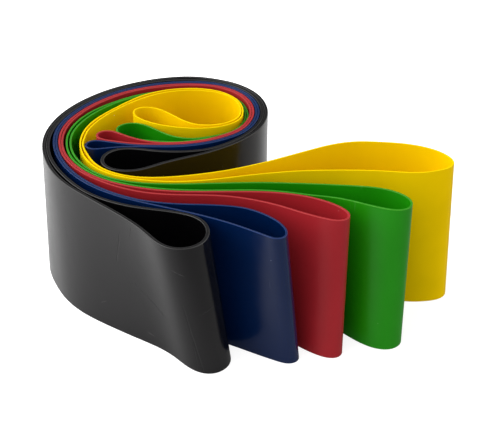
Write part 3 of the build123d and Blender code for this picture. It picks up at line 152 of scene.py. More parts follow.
LOOP_RED = (
    (33.83, -40.10, -0.88, -7.84), (32.33, -42.32, -0.84, -7.86), (29.58, -42.82, -0.87, -7.75),
    (26.55, -42.03, -0.85, -7.40), (23.21, -40.61, -0.70, -6.74), (19.53, -38.77, -0.43, -5.83),
    (15.72, -36.63, -0.15, -4.89), (11.88, -34.46, 0.07, -4.04), (8.01, -32.50, 0.17, -3.32),
    (4.03, -30.87, 0.19, -2.75), (-0.07, -29.58, 0.16, -2.31), (-4.28, -28.63, 0.12, -1.95),
    (-8.60, -28.00, 0.08, -1.61), (-12.99, -27.68, 0.05, -1.28), (-17.43, -27.61, 0.02, -0.96),
    (-21.90, -27.62, 0.00, -0.68), (-26.31, -27.48, -0.01, -0.46), (-30.63, -27.01, -0.01, -0.29),
    (-34.84, -26.11, 0.01, -0.16), (-38.93, -24.80, 0.02, -0.06), (-42.87, -23.10, 0.03, -0.02),
    (-46.65, -21.03, 0.00, 0.00), (-50.23, -18.62, 0.00, 0.00), (-53.63, -15.97, 0.00, 0.00),
    (-56.71, -13.01, 0.00, 0.00), (-59.45, -9.77, 0.00, 0.00), (-61.77, -6.24, 0.00, 0.00),
    (-63.68, -2.48, 0.00, 0.00), (-65.12, 1.49, 0.00, 0.00), (-66.09, 5.62, 0.00, 0.00),
    (-66.60, 9.82, 0.00, 0.00), (-66.67, 14.05, 0.00, 0.00), (-66.24, 18.24, 0.00, 0.00),
    (-65.24, 22.33, 0.00, 0.00), (-63.76, 26.32, 0.00, 0.00), (-61.87, 30.17, 0.00, 0.00),
    (-59.68, 33.88, 0.00, 0.00), (-57.14, 37.37, 0.00, 0.00), (-54.31, 40.64, 0.00, 0.00),
    (-51.22, 43.67, 0.00, 0.00), (-47.91, 46.41, 0.00, 0.00), (-44.33, 48.79, 0.00, 0.00),
    (-40.54, 50.83, 0.00, 0.00), (-36.59, 52.52, 0.00, 0.00), (-32.49, 53.81, 0.00, 0.00),
    (-28.29, 54.72, 0.00, 0.00), (-24.04, 55.23, 0.00, 0.00), (-19.80, 55.35, 0.00, 0.00),
    (-15.65, 54.97, 0.00, 0.00), (-11.69, 53.99, 0.00, 0.00), (-8.03, 52.32, 0.00, 0.00),
    (-4.78, 50.01, 0.00, 0.00), (-2.04, 47.14, 0.00, 0.00), (0.06, 43.76, 0.00, 0.00),
    (1.47, 40.00, 0.00, 0.00), (2.25, 36.03, 0.00, 0.00), (2.38, 31.98, 0.00, 0.00),
    (1.80, 27.96, 0.00, 0.00), (0.58, 24.10, 0.00, 0.00), (-1.20, 20.49, 0.00, 0.00),
    (-3.70, 17.35, 0.00, 0.00), (-6.83, 14.73, 0.00, 0.00), (-10.33, 12.46, 0.00, 0.00),
    (-14.08, 10.55, 0.00, 0.00), (-18.07, 9.14, 0.00, 0.00), (-22.22, 8.17, 0.00, 0.00),
    (-26.49, 7.62, 0.00, 0.00), (-30.85, 7.45, 0.00, 0.00), (-35.23, 7.48, 0.00, 0.00),
    (-39.58, 7.78, 0.00, 0.00), (-43.78, 8.48, 0.00, 0.00), (-47.62, 9.37, 0.00, 0.00),
    (-50.86, 10.33, 0.00, 0.00), (-53.13, 12.04, 0.04, 0.05), (-53.47, 14.56, 0.00, 0.00),
    (-51.82, 16.45, 0.00, 0.00), (-49.18, 16.77, -0.02, -0.03), (-46.42, 15.54, 0.00, 0.00),
    (-43.54, 13.50, 0.00, 0.00), (-40.14, 11.49, 0.00, 0.00), (-36.40, 9.80, 0.00, 0.00),
    (-32.47, 8.71, 0.00, 0.00), (-28.40, 8.46, 0.00, 0.00), (-24.26, 8.80, 0.00, 0.00),
    (-20.11, 9.57, 0.00, 0.00), (-16.06, 10.78, 0.00, 0.00), (-12.21, 12.49, 0.00, 0.00),
    (-8.62, 14.64, 0.00, 0.00), (-5.34, 17.11, 0.00, 0.00), (-2.61, 20.06, 0.00, 0.00),
    (-0.67, 23.55, 0.00, 0.00), (0.67, 27.34, 0.00, 0.00), (1.39, 31.31, 0.00, 0.00),
    (1.37, 35.35, 0.00, 0.00), (0.68, 39.32, 0.00, 0.00), (-0.66, 43.08, 0.00, 0.00),
    (-2.71, 46.47, 0.00, 0.00), (-5.43, 49.33, 0.00, 0.00), (-8.67, 51.61, 0.00, 0.00),
    (-12.33, 53.21, 0.00, 0.00), (-16.29, 54.11, 0.00, 0.00), (-20.41, 54.42, 0.00, 0.00),
    (-24.62, 54.19, 0.00, 0.00), (-28.84, 53.49, 0.00, 0.00), (-33.06, 52.52, 0.00, 0.00),
    (-37.16, 51.23, 0.00, 0.00), (-41.08, 49.51, 0.00, 0.00), (-44.80, 47.40, 0.00, 0.00),
    (-48.30, 44.93, 0.00, 0.00), (-51.54, 42.10, 0.00, 0.00), (-54.54, 38.99, 0.00, 0.00),
    (-57.28, 35.66, 0.00, 0.00), (-59.70, 32.09, 0.00, 0.00), (-61.77, 28.33, 0.00, 0.00),
    (-63.51, 24.43, 0.00, 0.00), (-64.76, 20.40, 0.00, 0.00), (-65.45, 16.24, 0.00, 0.00),
    (-65.71, 12.03, 0.00, 0.00), (-65.46, 7.81, 0.00, 0.00), (-64.72, 3.66, 0.00, 0.00),
    (-63.51, -0.37, 0.00, 0.00), (-61.80, -4.22, 0.00, 0.00), (-59.66, -7.85, 0.00, 0.00),
    (-57.09, -11.19, 0.00, 0.00), (-54.17, -14.23, 0.00, 0.00), (-50.90, -16.89, 0.00, 0.00),
    (-47.29, -19.10, 0.00, 0.00), (-43.43, -20.93, 0.00, 0.00), (-39.38, -22.44, 0.00, 0.00),
    (-35.19, -23.62, 0.00, 0.00), (-30.90, -24.51, 0.00, 0.00), (-26.54, -25.10, 0.00, 0.00),
    (-22.13, -25.44, -0.02, -0.14), (-17.66, -25.56, -0.03, -0.37), (-13.16, -25.52, -0.03, -0.69),
    (-8.64, -25.37, -0.02, -1.09), (-4.13, -25.18, 0.00, -1.55), (0.32, -25.05, 0.04, -2.09),
    (4.71, -25.09, 0.06, -2.74), (9.04, -25.38, 0.05, -3.51), (13.31, -26.01, -0.02, -4.34),
    (17.49, -26.96, -0.14, -5.22), (21.52, -28.28, -0.33, -6.10), (25.28, -30.07, -0.53, -6.81),
    (28.64, -32.25, -0.71, -7.32), (31.40, -34.68, -0.84, -7.64), (33.31, -37.29, -0.91, -7.79),
)
LOOP_GREEN = (
    (55.16, -31.85, -1.41, -8.39), (53.91, -34.46, -1.13, -8.59), (51.32, -35.75, -0.85, -9.18),
    (48.25, -35.58, -0.89, -9.81), (45.04, -34.60, -1.05, -9.81), (41.60, -33.18, -0.98, -9.07),
    (37.95, -31.45, -0.64, -7.84), (34.11, -29.72, -0.06, -6.18), (30.12, -28.39, 0.61, -4.16),
    (26.02, -27.53, 0.94, -2.28), (21.88, -26.81, 0.98, -0.87), (17.74, -25.89, 0.80, -0.24),
    (13.54, -24.96, 0.55, -0.11), (9.23, -24.32, 0.36, -0.04), (4.85, -24.01, 0.22, -0.01),
    (0.41, -23.97, 0.13, 0.00), (-4.10, -24.10, 0.07, 0.00), (-8.64, -24.28, 0.04, 0.00),
    (-13.18, -24.44, 0.00, 0.00), (-17.69, -24.48, 0.00, 0.00), (-22.16, -24.36, 0.00, 0.00),
    (-26.58, -24.01, 0.00, 0.00), (-30.94, -23.40, 0.00, 0.00), (-35.23, -22.50, 0.00, 0.00),
    (-39.41, -21.29, 0.00, 0.00), (-43.45, -19.76, 0.00, 0.00), (-47.28, -17.88, 0.00, 0.00),
    (-50.84, -15.60, 0.00, 0.00), (-54.03, -12.87, 0.00, 0.00), (-56.87, -9.78, 0.00, 0.00),
    (-59.31, -6.40, 0.00, 0.00), (-61.22, -2.69, 0.00, 0.00), (-62.60, 1.26, 0.00, 0.00),
    (-63.53, 5.37, 0.00, 0.00), (-64.00, 9.56, 0.00, 0.00), (-63.95, 13.76, 0.00, 0.00),
    (-63.35, 17.91, 0.00, 0.00), (-62.20, 21.95, 0.00, 0.00), (-60.56, 25.83, 0.00, 0.00),
    (-58.46, 29.51, 0.00, 0.00), (-55.95, 32.96, 0.00, 0.00), (-53.06, 36.17, 0.00, 0.00),
    (-49.87, 39.17, 0.00, 0.00), (-46.53, 42.05, 0.00, 0.00), (-43.03, 44.77, 0.00, 0.00),
    (-39.43, 47.27, 0.00, 0.00), (-35.73, 49.50, 0.00, 0.00), (-31.88, 51.28, 0.00, 0.00),
    (-27.88, 52.53, 0.00, 0.00), (-23.76, 53.20, 0.00, 0.00), (-19.61, 53.32, 0.00, 0.00),
    (-15.54, 52.90, 0.00, 0.00), (-11.66, 51.82, 0.00, 0.00), (-8.13, 50.01, 0.00, 0.00),
    (-5.08, 47.53, 0.00, 0.00), (-2.64, 44.47, 0.00, 0.00), (-0.94, 40.91, 0.00, 0.00),
    (0.06, 37.06, 0.00, 0.00), (0.39, 33.06, 0.00, 0.00), (-0.02, 29.07, 0.00, 0.00),
    (-1.15, 25.23, 0.00, 0.00), (-2.86, 21.64, 0.00, 0.00), (-5.35, 18.56, 0.00, 0.00),
    (-8.50, 16.02, 0.00, 0.00), (-12.01, 13.83, 0.00, 0.00), (-15.78, 12.04, 0.00, 0.00),
    (-19.72, 10.78, 0.00, 0.00), (-23.74, 10.05, 0.00, 0.04), (-27.84, 10.25, 0.00, 0.00),
    (-31.98, 11.07, 0.00, 0.00), (-36.15, 11.97, 0.00, 0.00), (-40.07, 13.03, 0.00, 0.00),
    (-43.36, 14.70, 0.00, 0.00), (-45.81, 16.96, 0.00, 0.00), (-46.92, 19.78, 0.00, 0.00),
    (-46.26, 22.58, 0.00, 0.00), (-44.08, 24.45, 0.00, 0.00), (-41.11, 24.91, 0.00, 0.00),
    (-38.02, 23.90, 0.00, 0.00), (-35.12, 21.72, 0.00, 0.00), (-32.29, 18.92, 0.00, 0.00),
    (-29.35, 16.07, 0.00, 0.00), (-26.17, 13.74, 0.00, 0.00), (-22.65, 12.36, 0.00, 0.00),
    (-18.95, 12.14, -0.01, 0.04), (-15.31, 13.16, 0.00, 0.00), (-11.78, 14.95, 0.00, 0.00),
    (-8.38, 17.16, 0.00, 0.00), (-5.35, 19.78, 0.00, 0.00), (-3.08, 23.00, 0.00, 0.00),
    (-1.56, 26.65, 0.00, 0.00), (-0.65, 30.52, 0.00, 0.00), (-0.51, 34.51, 0.00, 0.00),
    (-1.10, 38.45, 0.00, 0.00), (-2.38, 42.19, 0.00, 0.00), (-4.43, 45.51, 0.00, 0.00),
    (-7.18, 48.26, 0.00, 0.00), (-10.48, 50.37, 0.00, 0.00), (-14.21, 51.73, 0.00, 0.00),
    (-18.20, 52.38, 0.00, 0.00), (-22.31, 52.44, 0.00, 0.00), (-26.43, 51.95, 0.00, 0.00),
    (-30.46, 50.89, 0.00, 0.00), (-34.34, 49.25, 0.00, 0.00), (-38.06, 47.13, 0.00, 0.00),
    (-41.67, 44.69, 0.00, 0.00), (-45.17, 42.04, 0.00, 0.00), (-48.51, 39.21, 0.00, 0.00),
    (-51.59, 36.14, 0.00, 0.00), (-54.37, 32.83, 0.00, 0.00), (-56.85, 29.30, 0.00, 0.00),
    (-58.96, 25.58, 0.00, 0.00), (-60.66, 21.69, 0.00, 0.00), (-61.88, 17.66, 0.00, 0.00),
    (-62.55, 13.53, 0.00, 0.00), (-62.64, 9.36, 0.00, 0.00), (-62.16, 5.21, 0.00, 0.00),
    (-61.14, 1.15, 0.00, 0.00), (-59.63, -2.77, 0.00, 0.00), (-57.65, -6.47, 0.00, 0.00),
    (-55.23, -9.86, 0.00, 0.00), (-52.38, -12.87, 0.00, 0.00), (-49.13, -15.39, 0.00, 0.00),
    (-45.50, -17.37, 0.00, 0.00), (-41.58, -18.81, 0.00, 0.00), (-37.44, -19.77, 0.00, 0.00),
    (-33.16, -20.35, 0.00, 0.00), (-28.79, -20.60, 0.00, 0.00), (-24.34, -20.61, 0.00, 0.00),
    (-19.85, -20.44, 0.00, 0.00), (-15.32, -20.14, 0.00, 0.00), (-10.77, -19.79, 0.00, 0.00),
    (-6.22, -19.46, 0.00, 0.00), (-1.70, -19.19, 0.00, 0.00), (2.78, -19.00, 0.03, -0.08),
    (7.21, -18.91, 0.04, -0.28), (11.62, -18.92, 0.03, -0.67), (16.04, -19.04, 0.00, -1.23),
    (20.47, -19.26, -0.07, -1.97), (24.94, -19.55, -0.18, -2.88), (29.45, -19.87, -0.33, -3.89),
    (33.96, -20.20, -0.45, -4.88), (38.40, -20.53, -0.56, -5.81), (42.65, -21.09, -0.67, -6.64),
    (46.59, -22.15, -0.84, -7.31), (50.07, -23.85, -1.03, -7.79), (52.87, -26.11, -1.23, -8.13),
    (54.72, -28.85, -1.42, -8.32),
)
LOOP_YELLOW = (
    (72.12, -4.03, 0.11, -6.45), (70.56, -6.72, 0.32, -6.56), (67.81, -8.51, 0.33, -6.54),
    (64.47, -9.76, 0.21, -6.19), (60.66, -10.55, 0.13, -5.77), (56.52, -10.73, 0.10, -5.40),
    (52.20, -10.45, 0.12, -5.02), (47.76, -10.07, 0.14, -4.61), (43.27, -9.80, 0.15, -4.22),
    (38.76, -9.67, 0.15, -3.84), (34.24, -9.66, 0.15, -3.45), (29.73, -9.78, 0.14, -3.03),
    (25.22, -10.02, 0.13, -2.61), (20.73, -10.40, 0.12, -2.18), (16.26, -10.93, 0.10, -1.76),
    (11.83, -11.60, 0.08, -1.35), (7.43, -12.43, 0.05, -0.97), (3.07, -13.43, 0.01, -0.63),
    (-1.28, -14.57, -0.03, -0.34), (-5.64, -15.74, -0.05, -0.13), (-10.00, -16.85, -0.05, -0.04),
    (-14.36, -17.79, -0.04, -0.01), (-18.73, -18.46, 0.00, 0.00), (-23.10, -18.83, 0.00, 0.00),
    (-27.46, -18.87, 0.00, 0.00), (-31.79, -18.57, 0.00, 0.00), (-36.06, -17.91, 0.00, 0.00),
    (-40.20, -16.87, 0.00, 0.00), (-44.14, -15.44, 0.00, 0.00), (-47.76, -13.49, 0.00, 0.00),
    (-50.91, -10.94, 0.00, 0.00), (-53.55, -7.84, 0.00, 0.00), (-55.69, -4.34, 0.00, 0.00),
    (-57.33, -0.54, 0.00, 0.00), (-58.44, 3.48, 0.00, 0.00), (-59.01, 7.62, 0.00, 0.00),
    (-59.04, 11.81, 0.00, 0.00), (-58.53, 15.96, 0.00, 0.00), (-57.49, 20.02, 0.00, 0.00),
    (-55.89, 23.92, 0.00, 0.00), (-53.81, 27.64, 0.00, 0.00), (-51.34, 31.24, 0.00, 0.00),
    (-48.62, 34.75, 0.00, 0.00), (-45.79, 38.20, 0.00, 0.00), (-42.91, 41.51, 0.00, 0.00),
    (-39.89, 44.51, 0.00, 0.00), (-36.49, 46.94, 0.00, 0.00), (-32.81, 48.88, 0.00, 0.00),
    (-28.92, 50.34, 0.00, 0.00), (-24.87, 51.20, 0.00, 0.00), (-20.75, 51.49, 0.00, 0.00),
    (-16.68, 51.21, 0.00, 0.00), (-12.80, 50.27, 0.00, 0.00), (-9.28, 48.55, 0.00, 0.00),
    (-6.28, 46.12, 0.00, 0.00), (-3.94, 43.05, 0.00, 0.00), (-2.41, 39.48, 0.00, 0.00),
    (-1.60, 35.66, 0.00, 0.00), (-1.51, 31.81, 0.00, 0.00), (-2.20, 28.16, -0.04, 0.02),
    (-4.08, 25.07, 0.00, 0.00), (-6.93, 22.71, 0.00, 0.00), (-10.34, 20.98, 0.00, 0.00),
    (-14.15, 19.92, 0.00, 0.00), (-18.19, 19.54, 0.00, 0.00), (-22.33, 19.79, 0.00, 0.00),
    (-26.46, 20.54, 0.00, 0.00), (-30.49, 21.70, 0.00, 0.00), (-34.25, 23.31, 0.00, 0.00),
    (-37.51, 25.35, 0.00, 0.00), (-40.03, 27.76, -0.03, -0.02), (-41.47, 30.52, 0.00, 0.00),
    (-41.28, 33.35, 0.06, -0.03), (-39.24, 35.23, 0.00, 0.00), (-36.34, 35.56, 0.01, 0.04),
    (-33.27, 34.63, 0.00, 0.00), (-30.30, 32.61, 0.00, 0.00), (-27.45, 29.83, 0.00, 0.00),
    (-24.56, 26.88, 0.00, 0.00), (-21.48, 24.32, 0.00, 0.00), (-18.04, 22.66, 0.00, 0.00),
    (-14.38, 22.15, 0.00, 0.00), (-10.75, 22.68, 0.00, 0.00), (-7.44, 24.17, 0.00, 0.00),
    (-4.76, 26.56, 0.00, 0.00), (-2.90, 29.63, 0.00, 0.00), (-2.22, 33.19, 0.00, 0.00),
    (-2.56, 36.91, 0.00, 0.00), (-3.60, 40.58, 0.00, 0.00), (-5.41, 43.92, 0.00, 0.00),
    (-8.01, 46.63, 0.00, 0.00), (-11.34, 48.46, 0.00, 0.00), (-15.10, 49.55, 0.00, 0.00),
    (-19.09, 50.04, 0.00, 0.00), (-23.17, 49.88, 0.00, 0.00), (-27.21, 49.10, 0.00, 0.00),
    (-31.12, 47.73, 0.00, 0.00), (-34.84, 45.80, 0.00, 0.00), (-38.33, 43.40, 0.00, 0.00),
    (-41.61, 40.61, 0.00, 0.00), (-44.68, 37.52, 0.00, 0.00), (-47.56, 34.21, 0.00, 0.00),
    (-50.25, 30.74, 0.00, 0.00), (-52.67, 27.13, 0.00, 0.00), (-54.74, 23.37, 0.00, 0.00),
    (-56.37, 19.47, 0.00, 0.00), (-57.46, 15.44, 0.00, 0.00), (-57.91, 11.34, -0.04, 0.00),
    (-58.06, 7.27, -0.05, 0.00), (-57.28, 3.33, -0.07, -0.02), (-55.81, -0.51, -0.03, 0.00),
    (-54.16, -4.33, 0.00, 0.00), (-52.01, -7.81, 0.00, 0.00), (-49.31, -10.78, 0.00, 0.00),
    (-46.07, -13.12, 0.00, 0.00), (-42.41, -14.80, 0.00, 0.00), (-38.47, -15.86, 0.00, 0.00),
    (-34.33, -16.34, 0.00, 0.00), (-30.09, -16.30, 0.00, 0.00), (-25.79, -15.84, 0.00, 0.00),
    (-21.47, -15.05, 0.00, 0.00), (-17.15, -14.04, 0.00, 0.00), (-12.85, -12.83, -0.04, -0.02),
    (-8.60, -11.44, -0.06, -0.03), (-4.42, -9.87, -0.10, -0.06), (-0.31, -8.11, -0.12, -0.14),
    (3.73, -6.17, -0.11, -0.33), (7.72, -4.06, -0.07, -0.61), (11.68, -1.84, -0.02, -0.93),
    (15.63, 0.45, 0.03, -1.24), (19.58, 2.75, 0.07, -1.55), (23.52, 4.99, 0.12, -1.85),
    (27.43, 7.11, 0.17, -2.14), (31.32, 8.96, 0.23, -2.44), (35.27, 10.33, 0.29, -2.82),
    (39.36, 11.04, 0.33, -3.26), (43.59, 11.14, 0.32, -3.71), (47.91, 10.88, 0.31, -4.15),
    (52.26, 10.42, 0.30, -4.61), (56.52, 9.69, 0.27, -5.09), (60.58, 8.56, 0.21, -5.55),
    (64.32, 6.91, 0.12, -5.95), (67.59, 4.74, 0.01, -6.24), (70.18, 2.10, -0.05, -6.39),
    (71.86, -0.87, -0.04, -6.43),
)

BANDS = {
    # name: (loop, thickness, edge rounding, seed)
    "black": (LOOP_BLACK, 1.30, 0.26, 11),
    "blue": (LOOP_BLUE, 0.74, 0.15, 23),
    "red": (LOOP_RED, 0.78, 0.15, 37),
    "green": (LOOP_GREEN, 0.70, 0.14, 41),
    "yellow": (LOOP_YELLOW, 0.60, 0.13, 59),
}
ROUND = 1040  # places round a loop


# ------------------------------------------------------------------ geometry

def smooth_loop(rows, count):
    """Closed C2 cubic through the rows, resampled at even arc length along the rim.
    Gives the values, their derivatives and the loop's length."""
    p = np.array(rows, float)
    n = len(p)
    h = np.hypot(*(np.roll(p[:, :2], -1, 0) - p[:, :2]).T)
    a_mat, b_mat = np.zeros((n, n)), np.zeros((n, 4))
    for i in range(n):
        a, b, j = h[i - 1], h[i], (i + 1) % n
        a_mat[i, i - 1] += b
        a_mat[i, i] += 2 * (a + b)
        a_mat[i, j] += a
        b_mat[i] = 3 * (a * (p[j] - p[i]) / b + b * (p[i] - p[i - 1]) / a)
    m = np.linalg.solve(a_mat, b_mat)
    t = np.linspace(0, 1, 40, endpoint=False)[:, None]
    fine, slope = [], []
    for i in range(n):
        j = (i + 1) % n
        p0, p1, m0, m1 = p[i], p[j], m[i] * h[i], m[j] * h[i]
        fine.append((2 * t**3 - 3 * t**2 + 1) * p0 + (t**3 - 2 * t**2 + t) * m0
                    + (3 * t**2 - 2 * t**3) * p1 + (t**3 - t**2) * m1)
        slope.append(((6 * t**2 - 6 * t) * (p0 - p1) + (3 * t**2 - 4 * t + 1) * m0
                      + (3 * t**2 - 2 * t) * m1) / h[i])
    fine, slope = np.vstack(fine), np.vstack(slope)
    step = np.hypot(*(np.roll(fine[:, :2], -1, 0) - fine[:, :2]).T)
    s = np.concatenate([[0], np.cumsum(step)])
    at = np.linspace(0, s[-1], count, endpoint=False)
    closed = lambda q: np.stack([np.interp(at, s, np.append(q[:, k], q[0, k])) for k in range(4)], 1)
    return closed(fine), closed(slope), s[-1]


def ripple(rng, s, length, low, high, size):
    """A smooth closed wave along the loop, of wavelengths length/low to length/high."""
    out = np.zeros_like(s)
    for k in range(low, high, 3):
        out += rng.normal() * np.cos(2 * math.pi * k * s / length + rng.uniform(0, 2 * math.pi))
    return size * out / max(1e-9, np.abs(out).max())


def section(thick, r):
    """Points round the strip's section, from low on the outside, up, over the rim and
    back down: (offset, height, edge, cut, inside)."""
    t = thick / 2
    ladder = [r + 0.10, r + 0.5, 2, 4.5, 8, 12, 16.5, 21, 25, 29, 33.5, 38, 42, 45.5, 48, WIDTH - r - 0.5, WIDTH - r - 0.10]
    arc = np.radians([0, 18, 36, 54, 72, 90])
    pts = [(t, h, 0.0, 0.0, 0.0) for h in ladder]
    pts += [(t - r + r * math.cos(a), WIDTH - r + r * math.sin(a), 0.35 + 0.65 * math.sin(2 * a), math.sin(a) ** 2, 0.0) for a in arc]
    flat = t - r
    for q in (0.8, 0.4, 0.0, -0.4, -0.8):
        pts.append((flat * q, WIDTH - 0.045 * (1 - q * q) * min(1.0, thick), 0.0, 1.0, 0.5))
    pts += [(-(t - r + r * math.cos(a)), WIDTH - r + r * math.sin(a), 0.35 + 0.65 * math.sin(2 * a), math.sin(a) ** 2, 1.0) for a in arc[::-1]]
    pts += [(-t, h, 0.0, 0.0, 1.0) for h in ladder[::-1]]
    pts += [(-(t - r + r * math.cos(a)), r - r * math.sin(a), 0.35 + 0.65 * math.sin(2 * a), math.sin(a) ** 2, 1.0) for a in arc]
    for q in (-0.8, -0.4, 0.0, 0.4, 0.8):
        pts.append((flat * q, 0.02 * (1 - q * q), 0.0, 1.0, 0.5))
    pts += [(t - r + r * math.cos(a), r - r * math.sin(a), 0.35 + 0.65 * math.sin(2 * a), math.sin(a) ** 2, 0.0) for a in arc[::-1]]
    return pts


def ease(v):
    v = np.clip(v, 0, 1)
    return v * v * (3 - 2 * v)


def rim_drop(name, mid, s, length):
    """How far a band's upper edge lies below the others', mm. The green strip has
    slid down a little at its inner end and round the far side of the coil."""
    if name != "green":
        return np.zeros_like(s)
    inner_end = 0.5 * length
    reach = np.abs(s - inner_end)
    drop = 1.1 * (1 - ease((reach - 12) / 20))
    x, y = mid[:, 0] + 32.0, mid[:, 1] - 12.0
    turn = np.degrees(np.arctan2(y, x))
    out = np.hypot(x, y)
    ring = ease((out - 19) / 9) * (1 - ease((out - 44) / 8))
    far = ease((turn + 42) / 40) * (1 - ease((turn - 84) / 26))
    drop = np.maximum(drop, 1.6 * ring * far)
    wide = np.exp(-0.5 * (np.minimum(s, length - s) / 7.0) ** 2)
    return np.real(np.fft.ifft(np.fft.fft(drop) * np.fft.fft(wide / wide.sum())))


def make_band(name):
    rows, thick, r, seed = BANDS[name]
    mid, along, length = smooth_loop(rows, ROUND)
    rng = np.random.default_rng(seed)
    s = np.linspace(0, length, ROUND, endpoint=False)
    x, y = mid[:, 0], mid[:, 1]
    area = 0.5 * np.sum(x * np.roll(y, -1) - np.roll(x, -1) * y)
    way = 1.0 if area > 0 else -1.0

    rim_c, foot_c = mid[:, :2], mid[:, :2] + mid[:, 2:]

    def outward(d):
        n = np.stack([d[:, 1], -d[:, 0]], 1)
        return way * n / np.linalg.norm(n, axis=1)[:, None]

    rim_n, foot_n = outward(along[:, :2]), outward(along[:, :2] + along[:, 2:])
    cut_wave = ripple(rng, s, length, 10, 46, 0.045)
    drop = rim_drop(name, mid, s, length)
    bulge_a = ripple(rng, s, length, 10, 36, 0.025)
    bulge_b = ripple(rng, s, length, 10, 36, 0.025)

    pts = section(thick, r)
    m = len(pts)
    co = np.zeros((ROUND, m, 3))
    band_co = np.zeros((ROUND, m, 3))
    wall = np.zeros((ROUND, m, 3))
    edge, cut = np.zeros((ROUND, m)), np.zeros((ROUND, m))
    radius = length / (2 * math.pi)
    theta = s / radius
    walk = 0.0
    for j, (off, h, e, c, inner) in enumerate(pts):
        lv = h / WIDTH
        base = foot_c * (1 - lv) + rim_c * lv
        nrm = foot_n * (1 - lv) + rim_n * lv
        nrm /= np.linalg.norm(nrm, axis=1)[:, None]
        bow = bulge_a * math.sin(math.pi * lv) + bulge_b * math.sin(2 * math.pi * lv)
        co[:, j, :2] = base + nrm * (off + bow)[:, None]
        co[:, j, 2] = h + (cut_wave - drop) * ease(np.array((h - 2.0) / (WIDTH - 2.0)))
        if j:
            walk += math.hypot(off - pts[j - 1][0], h - pts[j - 1][1])
        band_co[:, j, 0] = radius * np.cos(theta)
        band_co[:, j, 1] = radius * np.sin(theta)
        band_co[:, j, 2] = walk
        wall[:, j, 0] = np.where(s < length / 2, s, s - length)
        wall[:, j, 1] = h
        wall[:, j, 2] = 100.0 * inner
        edge[:, j], cut[:, j] = e, c
    verts = (co.reshape(-1, 3) * MM)
    i = np.arange(ROUND)[:, None]
    j = np.arange(m)[None, :]
    i2, j2 = (i + 1) % ROUND, (j + 1) % m
    a, b, c2, d = i * m + j, i2 * m + j, i2 * m + j2, i * m + j2
    order = (a, b, c2, d) if way > 0 else (a, d, c2, b)
    quads = np.stack([np.broadcast_to(q, (ROUND, m)) for q in order], -1).reshape(-1, 4)

    mesh = bpy.data.meshes.new(f"loop_{name}")
    mesh.vertices.add(len(verts))
    mesh.vertices.foreach_set("co", verts.ravel())
    mesh.loops.add(quads.size)
    mesh.loops.foreach_set("vertex_index", quads.ravel().astype(np.int32))
    mesh.polygons.add(len(quads))
    mesh.polygons.foreach_set("loop_start", np.arange(0, quads.size, 4, dtype=np.int32))
    mesh.update(calc_edges=True)
    mesh.validate()
    mesh.shade_smooth()
    for key, kind, data in (
        ("band_co", "FLOAT_VECTOR", band_co.reshape(-1, 3)),
        ("wall", "FLOAT_VECTOR", wall.reshape(-1, 3)),
        ("edge", "FLOAT", edge.reshape(-1)),
        ("cut", "FLOAT", cut.reshape(-1)),
    ):
        layer = mesh.attributes.new(key, kind, "POINT")
        layer.data.foreach_set("vector" if kind == "FLOAT_VECTOR" else "value", data.astype(np.float32).ravel())
    obj = bpy.data.objects.new(f"loop_{name}", mesh)
    bpy.context.scene.collection.objects.link(obj)
    return obj


# ----------------------------------------------------------------- materials

class Nodes:
    def __init__(self, material):
        material.use_nodes = True
        self.t = material.node_tree
        self.t.nodes.clear()

    def new(self, kind, **sets):
        n = self.t.nodes.new(kind)
        for k, v in sets.items():
            if k in ("op", "mode"):
                setattr(n, "operation" if k == "op" else k, v)
            elif hasattr(n, k):
                setattr(n, k, v)
        return n

    def link(self, a, b):
        self.t.links.new(a, b)

    def math(self, op, a, b=None, c=None, clamp=False):
        n = self.t.nodes.new("ShaderNodeMath")
        n.operation, n.use_clamp = op, clamp
        for k, v in enumerate((a, b, c)):
            if v is None:
                continue
            if isinstance(v, (int, float)):
                n.inputs[k].default_value = v
            else:
                self.link(v, n.inputs[k])
        return n.outputs[0]

    def remap(self, v, a, b, c, d):
        n = self.t.nodes.new("ShaderNodeMapRange")
        n.interpolation_type = "SMOOTHSTEP"
        self.link(v, n.inputs["Value"])
        for k, x in zip(("From Min", "From Max", "To Min", "To Max"), (a, b, c, d)):
            n.inputs[k].default_value = x
        return n.outputs["Result"]

    def scaled(self, v, x, y, z):
        n = self.t.nodes.new("ShaderNodeVectorMath")
        n.operation = "MULTIPLY"
        self.link(v, n.inputs[0])
        n.inputs[1].default_value = (x, y, z)
        return n.outputs[0]

    def noise(self, v, scale, detail=2.0, rough=0.5, seed=0.0):
        n = self.t.nodes.new("ShaderNodeTexNoise")
        n.noise_dimensions = "4D"
        self.link(v, n.inputs["Vector"])
        n.inputs["W"].default_value = seed
        n.inputs["Scale"].default_value = scale
        n.inputs["Detail"].default_value = detail
        n.inputs["Roughness"].default_value = rough
        return n.outputs["Fac"]

    def mix(self, f, a, b):
        n = self.t.nodes.new("ShaderNodeMix")
        n.data_type = "RGBA"
        if isinstance(f, (int, float)):
            n.inputs[0].default_value = f
        else:
            self.link(f, n.inputs[0])
        for v, k in ((a, 6), (b, 7)):
            if isinstance(v, tuple):
                n.inputs[k].default_value = (*v, 1.0)
            else:
                self.link(v, n.inputs[k])
        return n.outputs[2]


